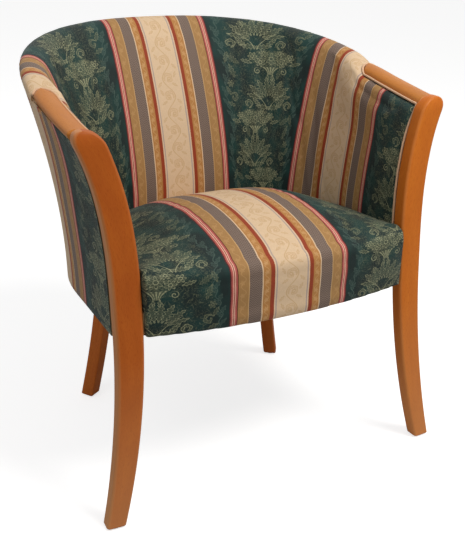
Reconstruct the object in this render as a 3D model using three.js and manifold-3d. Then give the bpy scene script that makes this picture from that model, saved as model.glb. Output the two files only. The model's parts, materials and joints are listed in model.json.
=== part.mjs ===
// A tub chair: show-wood arms and legs, a barrel-shaped upholstered wall and a crowned, sprung seat.
// Millimetres, +Z up, +Y to the rear. While it is built, the origin lies on the floor midway between the
// front faces of the front legs. At the end the chair is moved so that it stands centred on the origin.
import * as THREE from "three";
import { mergeVertices } from "three/addons/utils/BufferGeometryUtils.js";
import Module from "manifold-3d";

const wasm = await Module();
wasm.setup();

// Front legs, which run up as arm posts
const legHeight = 684;
const legDepth = 27;
const legFootWidth = 34.6;
const legFullWidth = 48.4;
const legFullHeight = 480; // where a leg reaches its full width
const legEdgeRadius = 5;
const legToe = THREE.MathUtils.degToRad(3.4); // the outer edge lies further back than the inner one
const legLean = 83; // how far the top lies behind the foot
const leanCurveShare = 0.13;
const waistHeight = 360; // where the two front legs stand closest
const waistHalfSpan = 282.5;
const footFlare = 46.7;
const headFlare = 54;
const headSwell = 5;
const headSwellHeight = 84;
const headRound = 20; // height of the rounded head
const headNoseShare = 0.4; // how much of its depth the head loses at the very top
const headFlatShare = 0.13; // of the quarter round, left flat on top

// Arm caps
const capLength = 193;
const capThickness = 15;
const capWidth = 38;
const capFrontDrop = 8; // below the head of the leg
const capRise = 24;
const capRisePower = 1.2;
const capDrift = 6; // from the wall's outer face inwards, at the rear end
const capDriftPower = 1.5;
const capTopRoundShare = 0.7; // of the thickness, rounded over towards the top

// Barrel wall
const wallThickness = 46;
const seatBottom = 337; // lower edge of the upholstery
const armRise = 7; // from the tops of the front legs to where the flare is given
const armHeight = legHeight + armRise;
const armFlare = 53; // outward flare of the wall's middle from the seat bottom to the arm height
const armFlarePower = 1.9;
const bendStart = 235; // where the straight arms run into the round back
const backInsideLow = 460; // inner face of the back at the seat bottom
const backFlare = 104;
const backFlarePower = 2;
const planPower = 2.5; // exponent of the superellipse in plan
const rimStep = 20; // from the tops of the front legs to the rim behind the arm caps
const rimStart = legHeight + rimStep;
const rimRise = 56;
const rimMiddle = rimStart + rimRise;
const rimPower = 2.23;
const rollHeight = 24; // height of the rounded rim in the middle of the back
const rollSideHeight = 17; // and behind the arm caps
const rollDrop = 18; // how far the inside cover comes down outside

// Layers of the wall, from the inside outwards
const clearance = 0.4; // between pieces that touch
const layerGap = 0.6; // between curved layers that lie on each other
const frameGap = 1.1; // between the inner board and the frame
const coverThickness = 1.5;
const padDepth = 14;
const linerThickness = 5;
const cardThickness = 1.8;
const linerLow = 392; // lower edge of the inside layers, just above the springs
const weltRadius = 2.2;
const weltTurnLength = 20; // along which a welt turns from under its cap to beside it
const weltCornerLength = 50; // of the leg, along which a welt leans out to the cap
const weltEndAngle = THREE.MathUtils.degToRad(150); // how far a welt goes round a cap's rear end
const weltSlack = 1.2; // room between a welt and the cover beside it

// Frame
const railLow = 339;
const railHigh = 380;
const topRailHeight = 46;
const topRailCover = 13; // padding over the top rail
const topRailBevel = 11;
const padBevelShare = 2 / 3; // of the bevel, followed by the pad over it
const armRailHeight = 34;
const armRailBevel = 6;
const postWidth = 40;
const postGap = 22; // from the widest part of the outer springs to a rear post
const sideRailShare = 0.47; // where the side rails meet the rear rail
const frontRailThickness = 25;
const frontRailInset = 14; // behind the front of the cover
const blockReach = 64;
const rearBlockWidth = 60;
const rearBlockDepth = 24;

// Rear legs
const rearLegSize = 28.5;
const rearLegShare = 0.645;
const rearLegSplay = 42; // sideways, from the seat bottom to the floor
const rearLegRake = 12; // backwards
const rearLegPower = 1.6;
const rearLegEdge = 3;

// Seat
const seatFrontMiddle = 6.5; // front of the cover in the middle
const seatFrontBow = 28.5; // how far the ends lie behind the middle
const seatEdgeHeight = 443;
const seatCrown = 43;
const seatCrownShare = 0.41; // how far back the highest point lies
const seatCrownPower = 2.1;
const seatRearHeight = 402;
const seatRearPower = 1.8;
const seatSideRise = 56; // of the seat's sides at the front, over their height at the rear
const seatSideRisePower = 1.3;
const seatFlatShare = 0.34; // of the half width, before the seat falls to its sides
const seatSidePower = 1.2;
const seatFrontRound = 16;
const seatRoundEndShare = 0.045; // of the depth, taken by the front rounding
const seatRowPower = 1.35; // rows lie closer together at the front
const seatSideGap = 1.6;
const seatCoverThickness = 1.6;

// Springs and clips
const springWire = 1.9; // radius
const springBend = 21; // half width of a spring
const bendRoundShare = 0.2; // of the pitch, from a bend's middle to where it turns into a bar
const springRuns = 9; // bars of one spring
const springLead = 22; // from a spring's end bar to its first bend
const springRise = 6;
const springEndShares = [-1, -1 / 3, 1 / 3, 1]; // points of an end bar
const springCount = 4;
const springSpan = 355; // from the first spring to the last
const clipWidth = 12;
const clipThickness = 1.4;
const clipTail = 4.5;

// Joints, glides and the bottom
const dowelRadius = 5;
const dowelLength = 44;
const dowelIntoLegShare = 0.42; // of a dowel's length, held by the leg
const boreClearance = 0.3;
const dowelEdge = 11; // from a rail's edges to its dowels
const capDowelRadius = 4;
const capDowelLength = 36;
const glideRadius = 9;
const glideHeight = 3;
const glidePinRadius = 1.3;
const glidePinLength = 11;
const boltRadius = 3;
const boltHeadRadius = 7;
const boltHeadHeight = 3;
const boltGripShare = 0.75; // of the rail's thickness, reached by a bolt
const dustThickness = 1;
const overrun = 20; // of a cutting tool past what it cuts

// Counts that set how finely the curves are divided, and tolerances
const mergeDistance = 1e-3;
const shareTolerance = 1e-4;
const bendSteps = 13;
const wallLevels = 7;
const rollSteps = 6;
const overRailSteps = 2;
const bandLevels = 2;
const arcSamples = 400;
const straightSteps = 3;
const railLevels = 3;
const legLevels = 12;
const rearLegLevels = 8;
const headSteps = 4;
const capSteps = 4;
const capEndSteps = 6;
const capRoundSteps = 6;
const cornerSteps = 3;
const frontRailSteps = 10;
const dustFrontSteps = 12;
const seatColumns = 20;
const seatTopRows = 10;
const roundSides = 10;
const springSides = 4;
const springStepsPerRun = 5;
const weltSides = 5;
const weltSteps = 35;
const weltLegSteps = 7;
const weltCapSteps = 8;
const weltTurnSteps = 3;
const searchSteps = 40;

// Colours
const beech = 0xb86a28;
const rawWood = 0xd2b48c;
const fabricGreen = 0x24443c;
const foamWhite = 0xe8e0c8;
const board = 0x9a7b50;
const weltPeach = 0xd7aa82;
const steel = 0x8c8f92;
const black = 0x1b1b1b;

const finish = (color, roughness, metalness = 0) =>
  new THREE.MeshStandardMaterial({ color, roughness, metalness });
const showWood = finish(beech, 0.35);
const frameWood = finish(rawWood, 0.8);
const fabric = finish(fabricGreen, 0.85);
const foam = finish(foamWhite, 0.95);
const fibreboard = finish(board, 0.9);
const piping = finish(weltPeach, 0.8);
const wire = finish(steel, 0.4, 1);
const liningCloth = finish(black, 0.95);
const nylon = finish(black, 0.5);

const chair = new THREE.Group();
const sides = [["left", -1], ["right", 1]];
const alongX = new THREE.Vector3(1, 0, 0);
const alongY = new THREE.Vector3(0, 1, 0);
const alongZ = new THREE.Vector3(0, 0, 1);
const { lerp, clamp, smoothstep } = THREE.MathUtils;
const levels = (low, high, count) => Array.from({ length: count + 1 }, (_, i) => lerp(low, high, i / count));

function place(name, geometry, material) {
  const mesh = new THREE.Mesh(geometry, material);
  mesh.name = name;
  chair.add(mesh);
  return mesh;
}

// Closed bodies

function signedVolume(points, faces) {
  const cross = new THREE.Vector3();
  const volumeOf = ([a, b, c]) => points[a].dot(cross.crossVectors(points[b], points[c]));
  return faces.reduce((sum, face) => sum + volumeOf(face), 0);
}

function bodyFrom(points, faces) {
  const turned = signedVolume(points, faces) < 0 ? faces.map(([a, b, c]) => [a, c, b]) : faces;
  const flat = turned.flatMap((face) => face.flatMap((i) => points[i].toArray()));
  const geometry = new THREE.BufferGeometry();
  geometry.setAttribute("position", new THREE.Float32BufferAttribute(flat, 3));
  const merged = mergeVertices(geometry, mergeDistance);
  const kept = [];
  for (let i = 0; i < merged.index.count; i += 3) {
    const [a, b, c] = [0, 1, 2].map((k) => merged.index.getX(i + k));
    if (a !== b && b !== c && c !== a) kept.push(a, b, c);
  }
  merged.setIndex(kept);
  const body = merged.toNonIndexed();
  body.computeVertexNormals();
  return body;
}

// A body between two grids of points of the same size, closed along all four borders.
function slab(near, far) {
  const rows = near.length;
  const columns = near[0].length;
  const points = [...near.flat(), ...far.flat()];
  const at = (layer, i, j) => layer * rows * columns + i * columns + j;
  const faces = [];
  const quad = (a, b, c, d) => faces.push([a, b, c], [a, c, d]);
  for (let i = 0; i + 1 < rows; i += 1) {
    for (let j = 0; j + 1 < columns; j += 1) {
      quad(at(0, i, j), at(0, i, j + 1), at(0, i + 1, j + 1), at(0, i + 1, j));
      quad(at(1, i, j), at(1, i + 1, j), at(1, i + 1, j + 1), at(1, i, j + 1));
    }
    quad(at(0, i, 0), at(0, i + 1, 0), at(1, i + 1, 0), at(1, i, 0));
    quad(at(0, i + 1, columns - 1), at(0, i, columns - 1), at(1, i, columns - 1), at(1, i + 1, columns - 1));
  }
  for (let j = 0; j + 1 < columns; j += 1) {
    quad(at(0, 0, j + 1), at(0, 0, j), at(1, 0, j), at(1, 0, j + 1));
    quad(at(0, rows - 1, j), at(0, rows - 1, j + 1), at(1, rows - 1, j + 1), at(1, rows - 1, j));
  }
  return bodyFrom(points, faces);
}

// A body through rings of the same number of points, each end closed by a fan round its middle.
function loft(rings) {
  const count = rings[0].length;
  const points = rings.flat();
  const faces = [];
  for (let i = 0; i + 1 < rings.length; i += 1) {
    for (let j = 0; j < count; j += 1) {
      const [a, b] = [i * count + j, i * count + ((j + 1) % count)];
      faces.push([a, b, b + count], [a, b + count, a + count]);
    }
  }
  const addEnd = (ring, first, forward) => {
    const middle = ring.reduce((sum, p) => sum.add(p), new THREE.Vector3()).divideScalar(count);
    points.push(middle);
    for (let j = 0; j < count; j += 1) {
      const [a, b] = [first + j, first + ((j + 1) % count)];
      faces.push(forward ? [a, b, points.length - 1] : [b, a, points.length - 1]);
    }
  };
  addEnd(rings[0], 0, false);
  addEnd(rings.at(-1), (rings.length - 1) * count, true);
  return bodyFrom(points, faces);
}

function solidOf(geometry) {
  const bare = geometry.index ? geometry.toNonIndexed() : geometry.clone();
  bare.deleteAttribute("normal");
  bare.deleteAttribute("uv");
  const merged = mergeVertices(bare, mergeDistance);
  return new wasm.Manifold(
    new wasm.Mesh({
      numProp: 3,
      vertProperties: new Float32Array(merged.attributes.position.array),
      triVerts: new Uint32Array(merged.index.array),
    }),
  );
}

function geometryOf(solid) {
  const { numProp, vertProperties, triVerts } = solid.getMesh();
  const corners = [...triVerts].flatMap((i) => [0, 1, 2].map((k) => vertProperties[i * numProp + k]));
  const geometry = new THREE.BufferGeometry();
  geometry.setAttribute("position", new THREE.Float32BufferAttribute(corners, 3));
  geometry.computeVertexNormals();
  return geometry;
}

const cutFrom = (body, ...tools) =>
  geometryOf(tools.reduce((solid, tool) => solid.subtract(solidOf(tool)), solidOf(body)));

const turnTo = (axis, direction) =>
  new THREE.Quaternion().setFromUnitVectors(axis, direction.clone().normalize());

// A round bar between two points.
function bar(from, to, radius, sides = roundSides) {
  const along = new THREE.Vector3().subVectors(to, from);
  const geometry = new THREE.CylinderGeometry(radius, radius, along.length(), sides);
  geometry.applyQuaternion(turnTo(alongY, along));
  geometry.translate(...new THREE.Vector3().addVectors(from, to).multiplyScalar(1 / 2).toArray());
  return geometry;
}

// A tube of a few sides along points.
function tube(points, radius, steps, sides) {
  const path = new THREE.CatmullRomCurve3(points, false, "centripetal");
  const circle = new THREE.Shape();
  for (let i = 0; i < sides; i += 1) {
    const angle = (2 * Math.PI * i) / sides;
    const [x, y] = [radius * Math.cos(angle), radius * Math.sin(angle)];
    if (i) circle.lineTo(x, y);
    else circle.moveTo(x, y);
  }
  circle.closePath();
  return new THREE.ExtrudeGeometry(circle, { steps, extrudePath: path, bevelEnabled: false });
}

// Front legs

const leanAt = (z) => {
  const t = z / legHeight;
  return legLean * ((1 - leanCurveShare) * t + leanCurveShare * t * t);
};
const legCentre = (z) =>
  z < waistHeight
    ? waistHalfSpan + footFlare * ((waistHeight - z) / waistHeight) ** 2
    : waistHalfSpan + headFlare * ((z - waistHeight) / (legHeight - waistHeight)) ** 3;
const legWidth = (z) => {
  const grown = 1 - (1 - Math.min(z / legFullHeight, 1)) ** 2;
  const swell = Math.max(0, (z - legHeight + headSwellHeight) / headSwellHeight) ** 2;
  return lerp(legFootWidth, legFullWidth, grown) + headSwell * swell;
};
const legInside = (z) => legCentre(z) - legWidth(z) / 2;
// The rear face of a front leg, at a height and a distance from the chair's middle.
const legBack = (z, x) => leanAt(z) + legDepth + (x - legCentre(z)) * Math.tan(legToe);

function roundedSection(width, depth, radius) {
  const corners = [[1, 1], [-1, 1], [-1, -1], [1, -1]];
  return corners.flatMap(([sx, sy], quarter) =>
    Array.from({ length: cornerSteps }, (_, i) => {
      const angle = (Math.PI / 2) * (quarter + i / (cornerSteps - 1));
      return [
        sx * (width / 2 - radius) + radius * Math.cos(angle),
        sy * (depth / 2 - radius) + radius * Math.sin(angle),
      ];
    }),
  );
}

function frontLeg(side) {
  const ring = (z, widthScale, depthScale) => {
    const [width, depth] = [legWidth(z) * widthScale, legDepth * depthScale];
    const section = roundedSection(width, depth, legEdgeRadius * widthScale);
    return section.map(([sx, sy]) =>
      new THREE.Vector3(
        side * (legCentre(z) + sx * Math.cos(legToe) - sy * Math.sin(legToe)),
        leanAt(z) + legDepth / 2 + sx * Math.sin(legToe) + sy * Math.cos(legToe),
        z,
      ));
  };
  const low = glideHeight + clearance;
  const high = legHeight - headRound;
  const shaft = levels(low, high, legLevels - 1).map((z) => ring(z, 1, 1));
  const head = Array.from({ length: headSteps }, (_, i) => {
    const angle = ((1 - headFlatShare) * (Math.PI / 2) * (i + 1)) / headSteps;
    const nose = 1 - headNoseShare * (1 - Math.cos(angle));
    return ring(high + headRound * Math.sin(angle), Math.cos(angle), nose);
  });
  return loft([...shaft, ...head]);
}

// Plan of the wall: straight arms and a quarter of a superellipse on each side. A place along the wall is
// given as a share of its length, from 0 at the front leg to 1 in the middle of the back.

const risen = (z) => Math.max(0, z - seatBottom) / (armHeight - seatBottom);
const rearSideCentre = (z) => waistHalfSpan + armFlare * risen(z) ** armFlarePower;
const backInside = (z) => backInsideLow + backFlare * risen(z) ** backFlarePower;

const armLength = bendStart - legBack(armHeight - capThickness, legCentre(armHeight - capThickness));
const quarter = (angle, a, b) => {
  const power = 2 / planPower;
  return [a * Math.sin(angle) ** power, b * Math.cos(angle) ** power];
};
const arcTable = (() => {
  const a = rearSideCentre(armHeight);
  const b = backInside(armHeight) + wallThickness / 2 - bendStart;
  const lengths = [0];
  let last = quarter(Math.PI / 2, a, b);
  for (let i = 1; i <= arcSamples; i += 1) {
    const next = quarter((Math.PI / 2) * (1 - i / arcSamples), a, b);
    lengths.push(lengths.at(-1) + Math.hypot(next[0] - last[0], next[1] - last[1]));
    last = next;
  }
  return lengths;
})();
const bendLength = arcTable.at(-1);
const wallLength = armLength + bendLength;
const bendShare = armLength / wallLength;

function bendAngle(share) {
  const wanted = clamp(share, 0, 1) * bendLength;
  const i = Math.max(1, arcTable.findIndex((length) => length >= wanted));
  const part = (wanted - arcTable[i - 1]) / (arcTable[i] - arcTable[i - 1]);
  return (Math.PI / 2) * (1 - (i - 1 + part) / arcSamples);
}

const insideX = (share, z) => {
  const blend = smoothstep(share, 0, bendShare);
  return lerp(legCentre(Math.min(z, legHeight)), rearSideCentre(z), blend) - wallThickness / 2;
};

function planPoint(share, z, depth) {
  if (share < bendShare) {
    const x = insideX(share, z) + depth;
    return [x, lerp(legBack(z, x) + clearance, bendStart, share / bendShare)];
  }
  const angle = bendAngle((share - bendShare) / (1 - bendShare));
  const a = insideX(1, z);
  const b = backInside(z) - bendStart;
  const [x, y] = quarter(angle, a, b);
  const slope = planPower - 1;
  const normal = new THREE.Vector2(x ** slope / a ** planPower, y ** slope / b ** planPower).normalize();
  return [x + depth * normal.x, bendStart + y + depth * normal.y];
}

// Where the rim starts to come out from under a cap's rounded end, and where it has left it.
const capEndShare = capLength / wallLength;
const rimFromShare = (capLength - capWidth / 2) / wallLength;
const weltSeat = layerGap + weltRadius; // from the wood to the middle of a welt
const weltRoom = weltSeat + weltRadius + weltSlack;
const topRailFrom = capEndShare + (weltRoom + clearance) / wallLength;
const railEndStep = layerGap / wallLength;
const stations = [
  ...Array.from({ length: straightSteps }, (_, i) => (i / straightSteps) * bendShare),
  ...Array.from({ length: bendSteps + 1 }, (_, i) => lerp(bendShare, 1, i / bendSteps)),
  rimFromShare,
  topRailFrom - railEndStep,
  topRailFrom,
].sort((a, b) => a - b);
// All layers share these stations, so their flat facets are parallel.
function wallPoint(side, share, z, depth) {
  const i = clamp(stations.findIndex((s) => s >= share), 1, stations.length - 1);
  const part = (share - stations[i - 1]) / (stations[i] - stations[i - 1]);
  const [ax, ay] = planPoint(stations[i - 1], z, depth);
  const [bx, by] = planPoint(stations[i], z, depth);
  return new THREE.Vector3(side * lerp(ax, bx, part), lerp(ay, by, part), z);
}
// The share of the wall's length that a distance takes up at a place.
function shareSpan(distance, share, z, depth) {
  const here = wallPoint(1, share, z, depth);
  return (distance * stations[1]) / here.distanceTo(wallPoint(1, share + stations[1], z, depth));
}
const stationsBetween = (from, to) => [
  from,
  ...stations.filter((s) => s > from + shareTolerance && s < to - shareTolerance),
  to,
];

// A wall piece from a section: section(share) gives its inner and outer line as pairs of depth and height.
// It runs all the way round, or on one side between two shares.
function wallPiece(section, from, to = 1, side = 0) {
  const own = stationsBetween(from, to);
  const route = side
    ? own.map((share) => [side, share])
    : [...own.map((share) => [-1, share]), ...own.slice(0, -1).reverse().map((share) => [1, share])];
  const grids = route.map(([s, share]) => {
    const { inner, outer } = section(share);
    return [inner, outer].map((line) => line.map(([depth, z]) => wallPoint(s, share, z, depth)));
  });
  return slab(grids.map(([inner]) => inner), grids.map(([, outer]) => outer));
}

// Heights along the wall

const alongCap = (share) => Math.min(share / capEndShare, 1);
const capTop = (share) => legHeight - capFrontDrop + capRise * alongCap(share) ** capRisePower;
const capUnder = (share) => capTop(share) - capThickness;
// Depth of a cap's middle: its outer side starts flush with the wall's.
const capMiddle = (share) => wallThickness - capWidth / 2 - capDrift * alongCap(share) ** capDriftPower;
const alongRim = (share) => clamp((share - capEndShare) / (1 - capEndShare), 0, 1);
const rimTop = (share) => rimStart + (rimMiddle - rimStart) * (1 - (1 - alongRim(share)) ** rimPower);
const rollLow = (share) => rimTop(share) - lerp(rollSideHeight, rollHeight, alongRim(share));
const isPastCap = (share) => share >= topRailFrom - railEndStep / 2;
const weltShare = weltRoom / wallLength;

// Depths of the layers
const padIn = coverThickness + layerGap;
const padOut = padIn + padDepth;
const linerIn = padOut + layerGap;
const linerOut = linerIn + linerThickness;
const frameIn = linerOut + frameGap;
const cardIn = wallThickness - coverThickness - layerGap - cardThickness;
const cardOut = cardIn + cardThickness;
const frameOut = cardIn - layerGap;
const frameMiddle = (frameIn + frameOut) / 2;

// The inner layers: a straight face, then the roll over the rim and a flap down the outside.
function rolledLine(share, depth) {
  const [low, top] = [rollLow(share), rimTop(share)];
  const middle = wallThickness / 2;
  const face = levels(linerLow, low, wallLevels).map((z) => [depth, z]);
  const roll = Array.from({ length: rollSteps }, (_, i) => {
    const angle = (Math.PI * (i + 1)) / rollSteps;
    const rise = (top - low - depth) * Math.sin(angle);
    return [middle - (middle - depth) * Math.cos(angle), low + rise];
  });
  return [...face, ...roll, [wallThickness - depth, flapLow(share)]];
}
// The flap hangs down outside; under a cap it is left out, where the well for the cap takes it away.
const flapLow = (share) => {
  const past = clamp((share - rimFromShare) / (topRailFrom - railEndStep - rimFromShare), 0, 1);
  return lerp(capUnder(share), rollLow(share) - rollDrop, past);
};

const insideCoverSection = (share) => ({
  inner: rolledLine(share, 0),
  outer: rolledLine(share, coverThickness),
});

const linerTop = (share) => (isPastCap(share) ? rimTop(share) - topRailCover : capUnder(share) - layerGap);
// The pad's back lies against the board, over the bevelled top rail and under the flap.
const padSection = (share) => {
  const railTop = rimTop(share) - topRailCover + layerGap;
  const bevelDepth = cardIn - topRailBevel * padBevelShare;
  const bevelLow = railTop - topRailBevel;
  const overRail = levels(padOut, bevelDepth, overRailSteps).map((depth) => [depth, railTop]);
  return {
    inner: rolledLine(share, padIn),
    outer: [
      ...levels(linerLow, linerTop(share), wallLevels).map((z) => [padOut, z]),
      ...overRail,
      [lerp(bevelDepth, cardIn, 1 / 2), lerp(railTop, bevelLow, 1 / 2)],
      [cardIn, bevelLow],
      [cardIn, lerp(bevelLow, flapLow(share), 1 / 2)],
      [cardIn, flapLow(share)],
    ],
  };
};

// Pieces that take the inner lines of the wall between two heights.
const bandSection = (inner, outer, low, high, count) => (share) => ({
  inner: levels(low(share), high(share), count).map((z) => [inner, z]),
  outer: levels(low(share), high(share), count).map((z) => [outer, z]),
});

const linerSection = bandSection(linerIn, linerOut, () => linerLow, linerTop, wallLevels);
const outerTop = (share) => flapLow(share) - layerGap;
const cardSection = bandSection(cardIn, cardOut, () => seatBottom + layerGap, outerTop, wallLevels);
const outsideCoverSection = bandSection(
  wallThickness - coverThickness,
  wallThickness,
  () => seatBottom,
  outerTop,
  wallLevels,
);
const railSection = bandSection(frameIn, frameOut, () => railLow, () => railHigh, railLevels);
const armRailSection = (share) => {
  const top = capUnder(share) - clearance;
  const low = top - armRailHeight;
  const edge = top - armRailBevel;
  return {
    inner: [[frameIn, low], [frameIn, (low + edge) / 2], [frameIn, edge], [frameIn, top]],
    outer: [[frameOut, low], [frameOut, (low + edge) / 2], [frameOut, edge], [frameOut - armRailBevel, top]],
  };
};
const topRailSection = (share) => {
  const top = rimTop(share) - topRailCover;
  const low = top - topRailHeight;
  const halfUp = (low + top) / 2;
  const edge = top - topRailBevel;
  return {
    inner: [[frameIn, low], [frameIn, halfUp], [frameIn, top], [frameMiddle, top]],
    outer: [[frameOut, low], [frameOut, halfUp], [frameOut, edge], [frameMiddle + clearance, top]],
  };
};
const postSection = bandSection(
  frameIn,
  frameOut,
  () => railHigh + clearance,
  (share) => rimTop(share) - topRailCover - topRailHeight - layerGap,
  wallLevels,
);

// Arm cap: a bar with a rounded top, whose rear end is round in plan.
function capRings(side, grow, outlineAt) {
  const half = capWidth / 2;
  const straight = levels(0, capLength - half, capSteps).map((at) => ({ at, across: half + grow }));
  const end = levels(0, Math.PI / 2, capEndSteps).slice(1, -1).map((angle) => ({
    at: capLength - half + (half + grow) * Math.sin(angle),
    across: (half + grow) * Math.cos(angle),
  }));
  return [...straight, ...end].map(({ at, across }) => {
    const share = at / wallLength;
    return outlineAt(share, across).map(([offset, z]) =>
      wallPoint(side, share, z, capMiddle(share) + offset));
  });
}
function armCap(side) {
  const round = capThickness * capTopRoundShare;
  const outline = (share, across) => [
    [-across, capUnder(share)],
    ...levels(0, Math.PI, capRoundSteps).map((angle) => [
      -across * Math.cos(angle),
      capTop(share) - round + round * Math.sin(angle),
    ]),
    [across, capUnder(share)],
  ];
  return loft(capRings(side, 0, outline));
}
// The room that the inner layers leave round a cap and its welt. In front of the cap's rounded end it
// reaches past the wall's inner face.
function capWell(side) {
  const outline = (share, across) => {
    const inner = share > rimFromShare ? across : Math.max(across, capMiddle(share) + weltRoom);
    const low = capUnder(share) - weltRoom - 2 * weltSlack;
    const high = rimTop(share) + overrun;
    const heights = [low, capTop(share), high];
    return [...heights.map((z) => [-inner, z]), ...heights.reverse().map((z) => [across, z])];
  };
  return loft(capRings(side, weltRoom, outline));
}

// Round pieces from a profile of radius and height, along a direction.
function turned(profile, start, direction) {
  const geometry = loft(profile.map(([radius, height]) =>
    Array.from({ length: roundSides }, (_, i) => {
      const angle = (2 * Math.PI * i) / roundSides;
      return new THREE.Vector3(radius * Math.cos(angle), radius * Math.sin(angle), height);
    })));
  return geometry.applyQuaternion(turnTo(alongZ, direction)).translate(...start.toArray());
}


// Seat

const legToeShift = (legDepth / 2) * Math.sin(legToe);
const seatHalfWidth = (y, z) => {
  const blend = smoothstep(y, legBack(z, legInside(z)), bendStart);
  return lerp(legInside(z) - legToeShift, rearSideCentre(z) - wallThickness / 2, blend) - seatSideGap;
};
const seatFront = (x) => seatFrontMiddle + seatFrontBow * (x / seatHalfWidth(0, seatEdgeHeight)) ** 2;
// Height of the seat: a crowned middle that falls towards the sides, the front and the rear.
function seatHeight(x, y) {
  const front = seatFront(x);
  const part = clamp((y - front) / (backInside(seatRearHeight) - front), 0, 1);
  const crown = seatEdgeHeight + seatCrown;
  const rise = (seatCrownShare - part) / seatCrownShare;
  const fall = (part - seatCrownShare) / (1 - seatCrownShare);
  const middle = part < seatCrownShare
    ? crown - seatCrown * rise ** seatCrownPower
    : crown - (crown - seatRearHeight) * fall ** seatRearPower;
  const edge = seatRearHeight + seatSideRise * (1 - part) ** seatSideRisePower;
  const bent = clamp((y - bendStart) / (backInside(seatRearHeight) - bendStart), 0, 1);
  const halfWidth = seatHalfWidth(y, seatEdgeHeight) * (1 - bent ** planPower) ** (1 / planPower);
  const out = halfWidth ? Math.min(Math.abs(x) / halfWidth, 1) : 1;
  const sideFall = Math.max(out - seatFlatShare, 0) / (1 - seatFlatShare);
  return lerp(middle, Math.min(middle, edge), sideFall ** seatSidePower);
}
// Rows of the seat from the lower front edge, up the front and over the top to the back.
const seatFaceShares = [0, 1 / 3, 2 / 3, 1];
const seatRoundShares = [[0.15, 0.5], [0.5, 0.95]]; // of the front rounding, inwards and upwards
const seatTopShares = levels(0, 1, seatTopRows).map((part) =>
  lerp(seatRoundEndShare, 1, part ** seatRowPower));
function seatLine(across, inset) {
  const squareWidth = seatHalfWidth(0, seatEdgeHeight);
  const front = seatFront(across * squareWidth) + inset;
  const faceHigh = seatEdgeHeight - seatFrontRound;
  const depth = (1 - Math.abs(across) ** planPower) ** (1 / planPower);
  const back = bendStart + (backInside(linerLow) - bendStart) * depth - seatSideGap - inset;
  const face = seatFaceShares.map((part) => [front, lerp(seatBottom, faceHigh, part)]);
  const round = seatRoundShares.map(([inwards, upwards]) => [
    front + inwards * seatFrontRound,
    faceHigh + upwards * seatFrontRound - inset * upwards,
  ]);
  const top = seatTopShares.map((part) => {
    const y = lerp(front, back, part);
    return [y, seatHeight(across * squareWidth, y) - inset];
  });
  return [...face, ...round, ...top];
}
const seatAcross = levels(-Math.PI / 2, Math.PI / 2, seatColumns).map(
  (angle) => Math.sign(angle) * Math.abs(Math.sin(angle)) ** (2 / planPower),
);
const seatGrid = (inset) =>
  seatAcross.map((across) =>
    seatLine(across, inset).map(([y, z]) => new THREE.Vector3(across * (seatHalfWidth(y, z) - inset), y, z)));

const springLow = railHigh + clearance + clipThickness + clearance + springWire;
const padUnder = springLow + springWire + clearance + clipThickness + clearance;
const frontRailBack = (x) => seatFront(x) + frontRailInset + frontRailThickness;
// Where the rear rail's middle line lies at a distance from the chair's middle.
function railShare(x) {
  let [low, high] = [bendShare, 1];
  for (let i = 0; i < searchSteps; i += 1) {
    const middle = (low + high) / 2;
    if (wallPoint(1, middle, railHigh, frameMiddle).x > Math.abs(x)) low = middle;
    else high = middle;
  }
  return low;
}
const rearRailMiddle = (x) => wallPoint(1, railShare(x), railHigh, frameMiddle).y;
const springFront = (x) => seatFront(x) + frontRailInset + frontRailThickness / 2;
const springArch = (x, y) => {
  const part = clamp((y - springFront(x)) / (rearRailMiddle(x) - springFront(x)), 0, 1);
  return springRise * Math.sin(Math.PI * part);
};

function seatPad() {
  const outer = seatGrid(seatCoverThickness + layerGap);
  const under = seatAcross.map((across, i) =>
    outer[i].map(({ x, y, z }, row) => {
      const edge = seatFront(x) + frontRailInset - clearance;
      if (row < seatFaceShares.length) return new THREE.Vector3(x, edge, Math.min(z, padUnder));
      return new THREE.Vector3(x, Math.max(y, edge), padUnder + springArch(x, y));
    }));
  return slab(outer, under);
}
place("seat_cover", slab(seatGrid(0), seatGrid(seatCoverThickness)), fabric);
place("seat_pad", seatPad(), foam);

// Wall

const wells = sides.map(([, side]) => capWell(side));
place("inside_cover", cutFrom(wallPiece(insideCoverSection, weltShare), ...wells), fabric);
place("back_pad", cutFrom(wallPiece(padSection, weltShare), ...wells), foam);
place("inner_liner", wallPiece(linerSection, 0), fibreboard);
place("outer_card", wallPiece(cardSection, 0), fibreboard);
place("outside_cover", wallPiece(outsideCoverSection, 0), fabric);

place("top_rail", wallPiece(topRailSection, topRailFrom), frameWood);
const halfPost = postWidth / 2 / wallLength;
const springsHalfWidth = springSpan / 2 + springBend + springWire;
const rearPostShare = railShare(springsHalfWidth + postGap) - halfPost;
place("centre_post", wallPiece(postSection, 1 - halfPost), frameWood);

// Front rail: a bowed board between the front legs.
const frontRailEnd = (z) => legInside(z) - legToeShift - clearance;
const frontRail = (() => {
  const grid = (inset) =>
    levels(-1, 1, frontRailSteps).map((part) =>
      levels(railLow, railHigh, railLevels).map((z) => {
        const x = part * frontRailEnd(z);
        return new THREE.Vector3(x, seatFront(x) + inset, z);
      }));
  return slab(grid(frontRailInset), grid(frontRailInset + frontRailThickness));
})();

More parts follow.
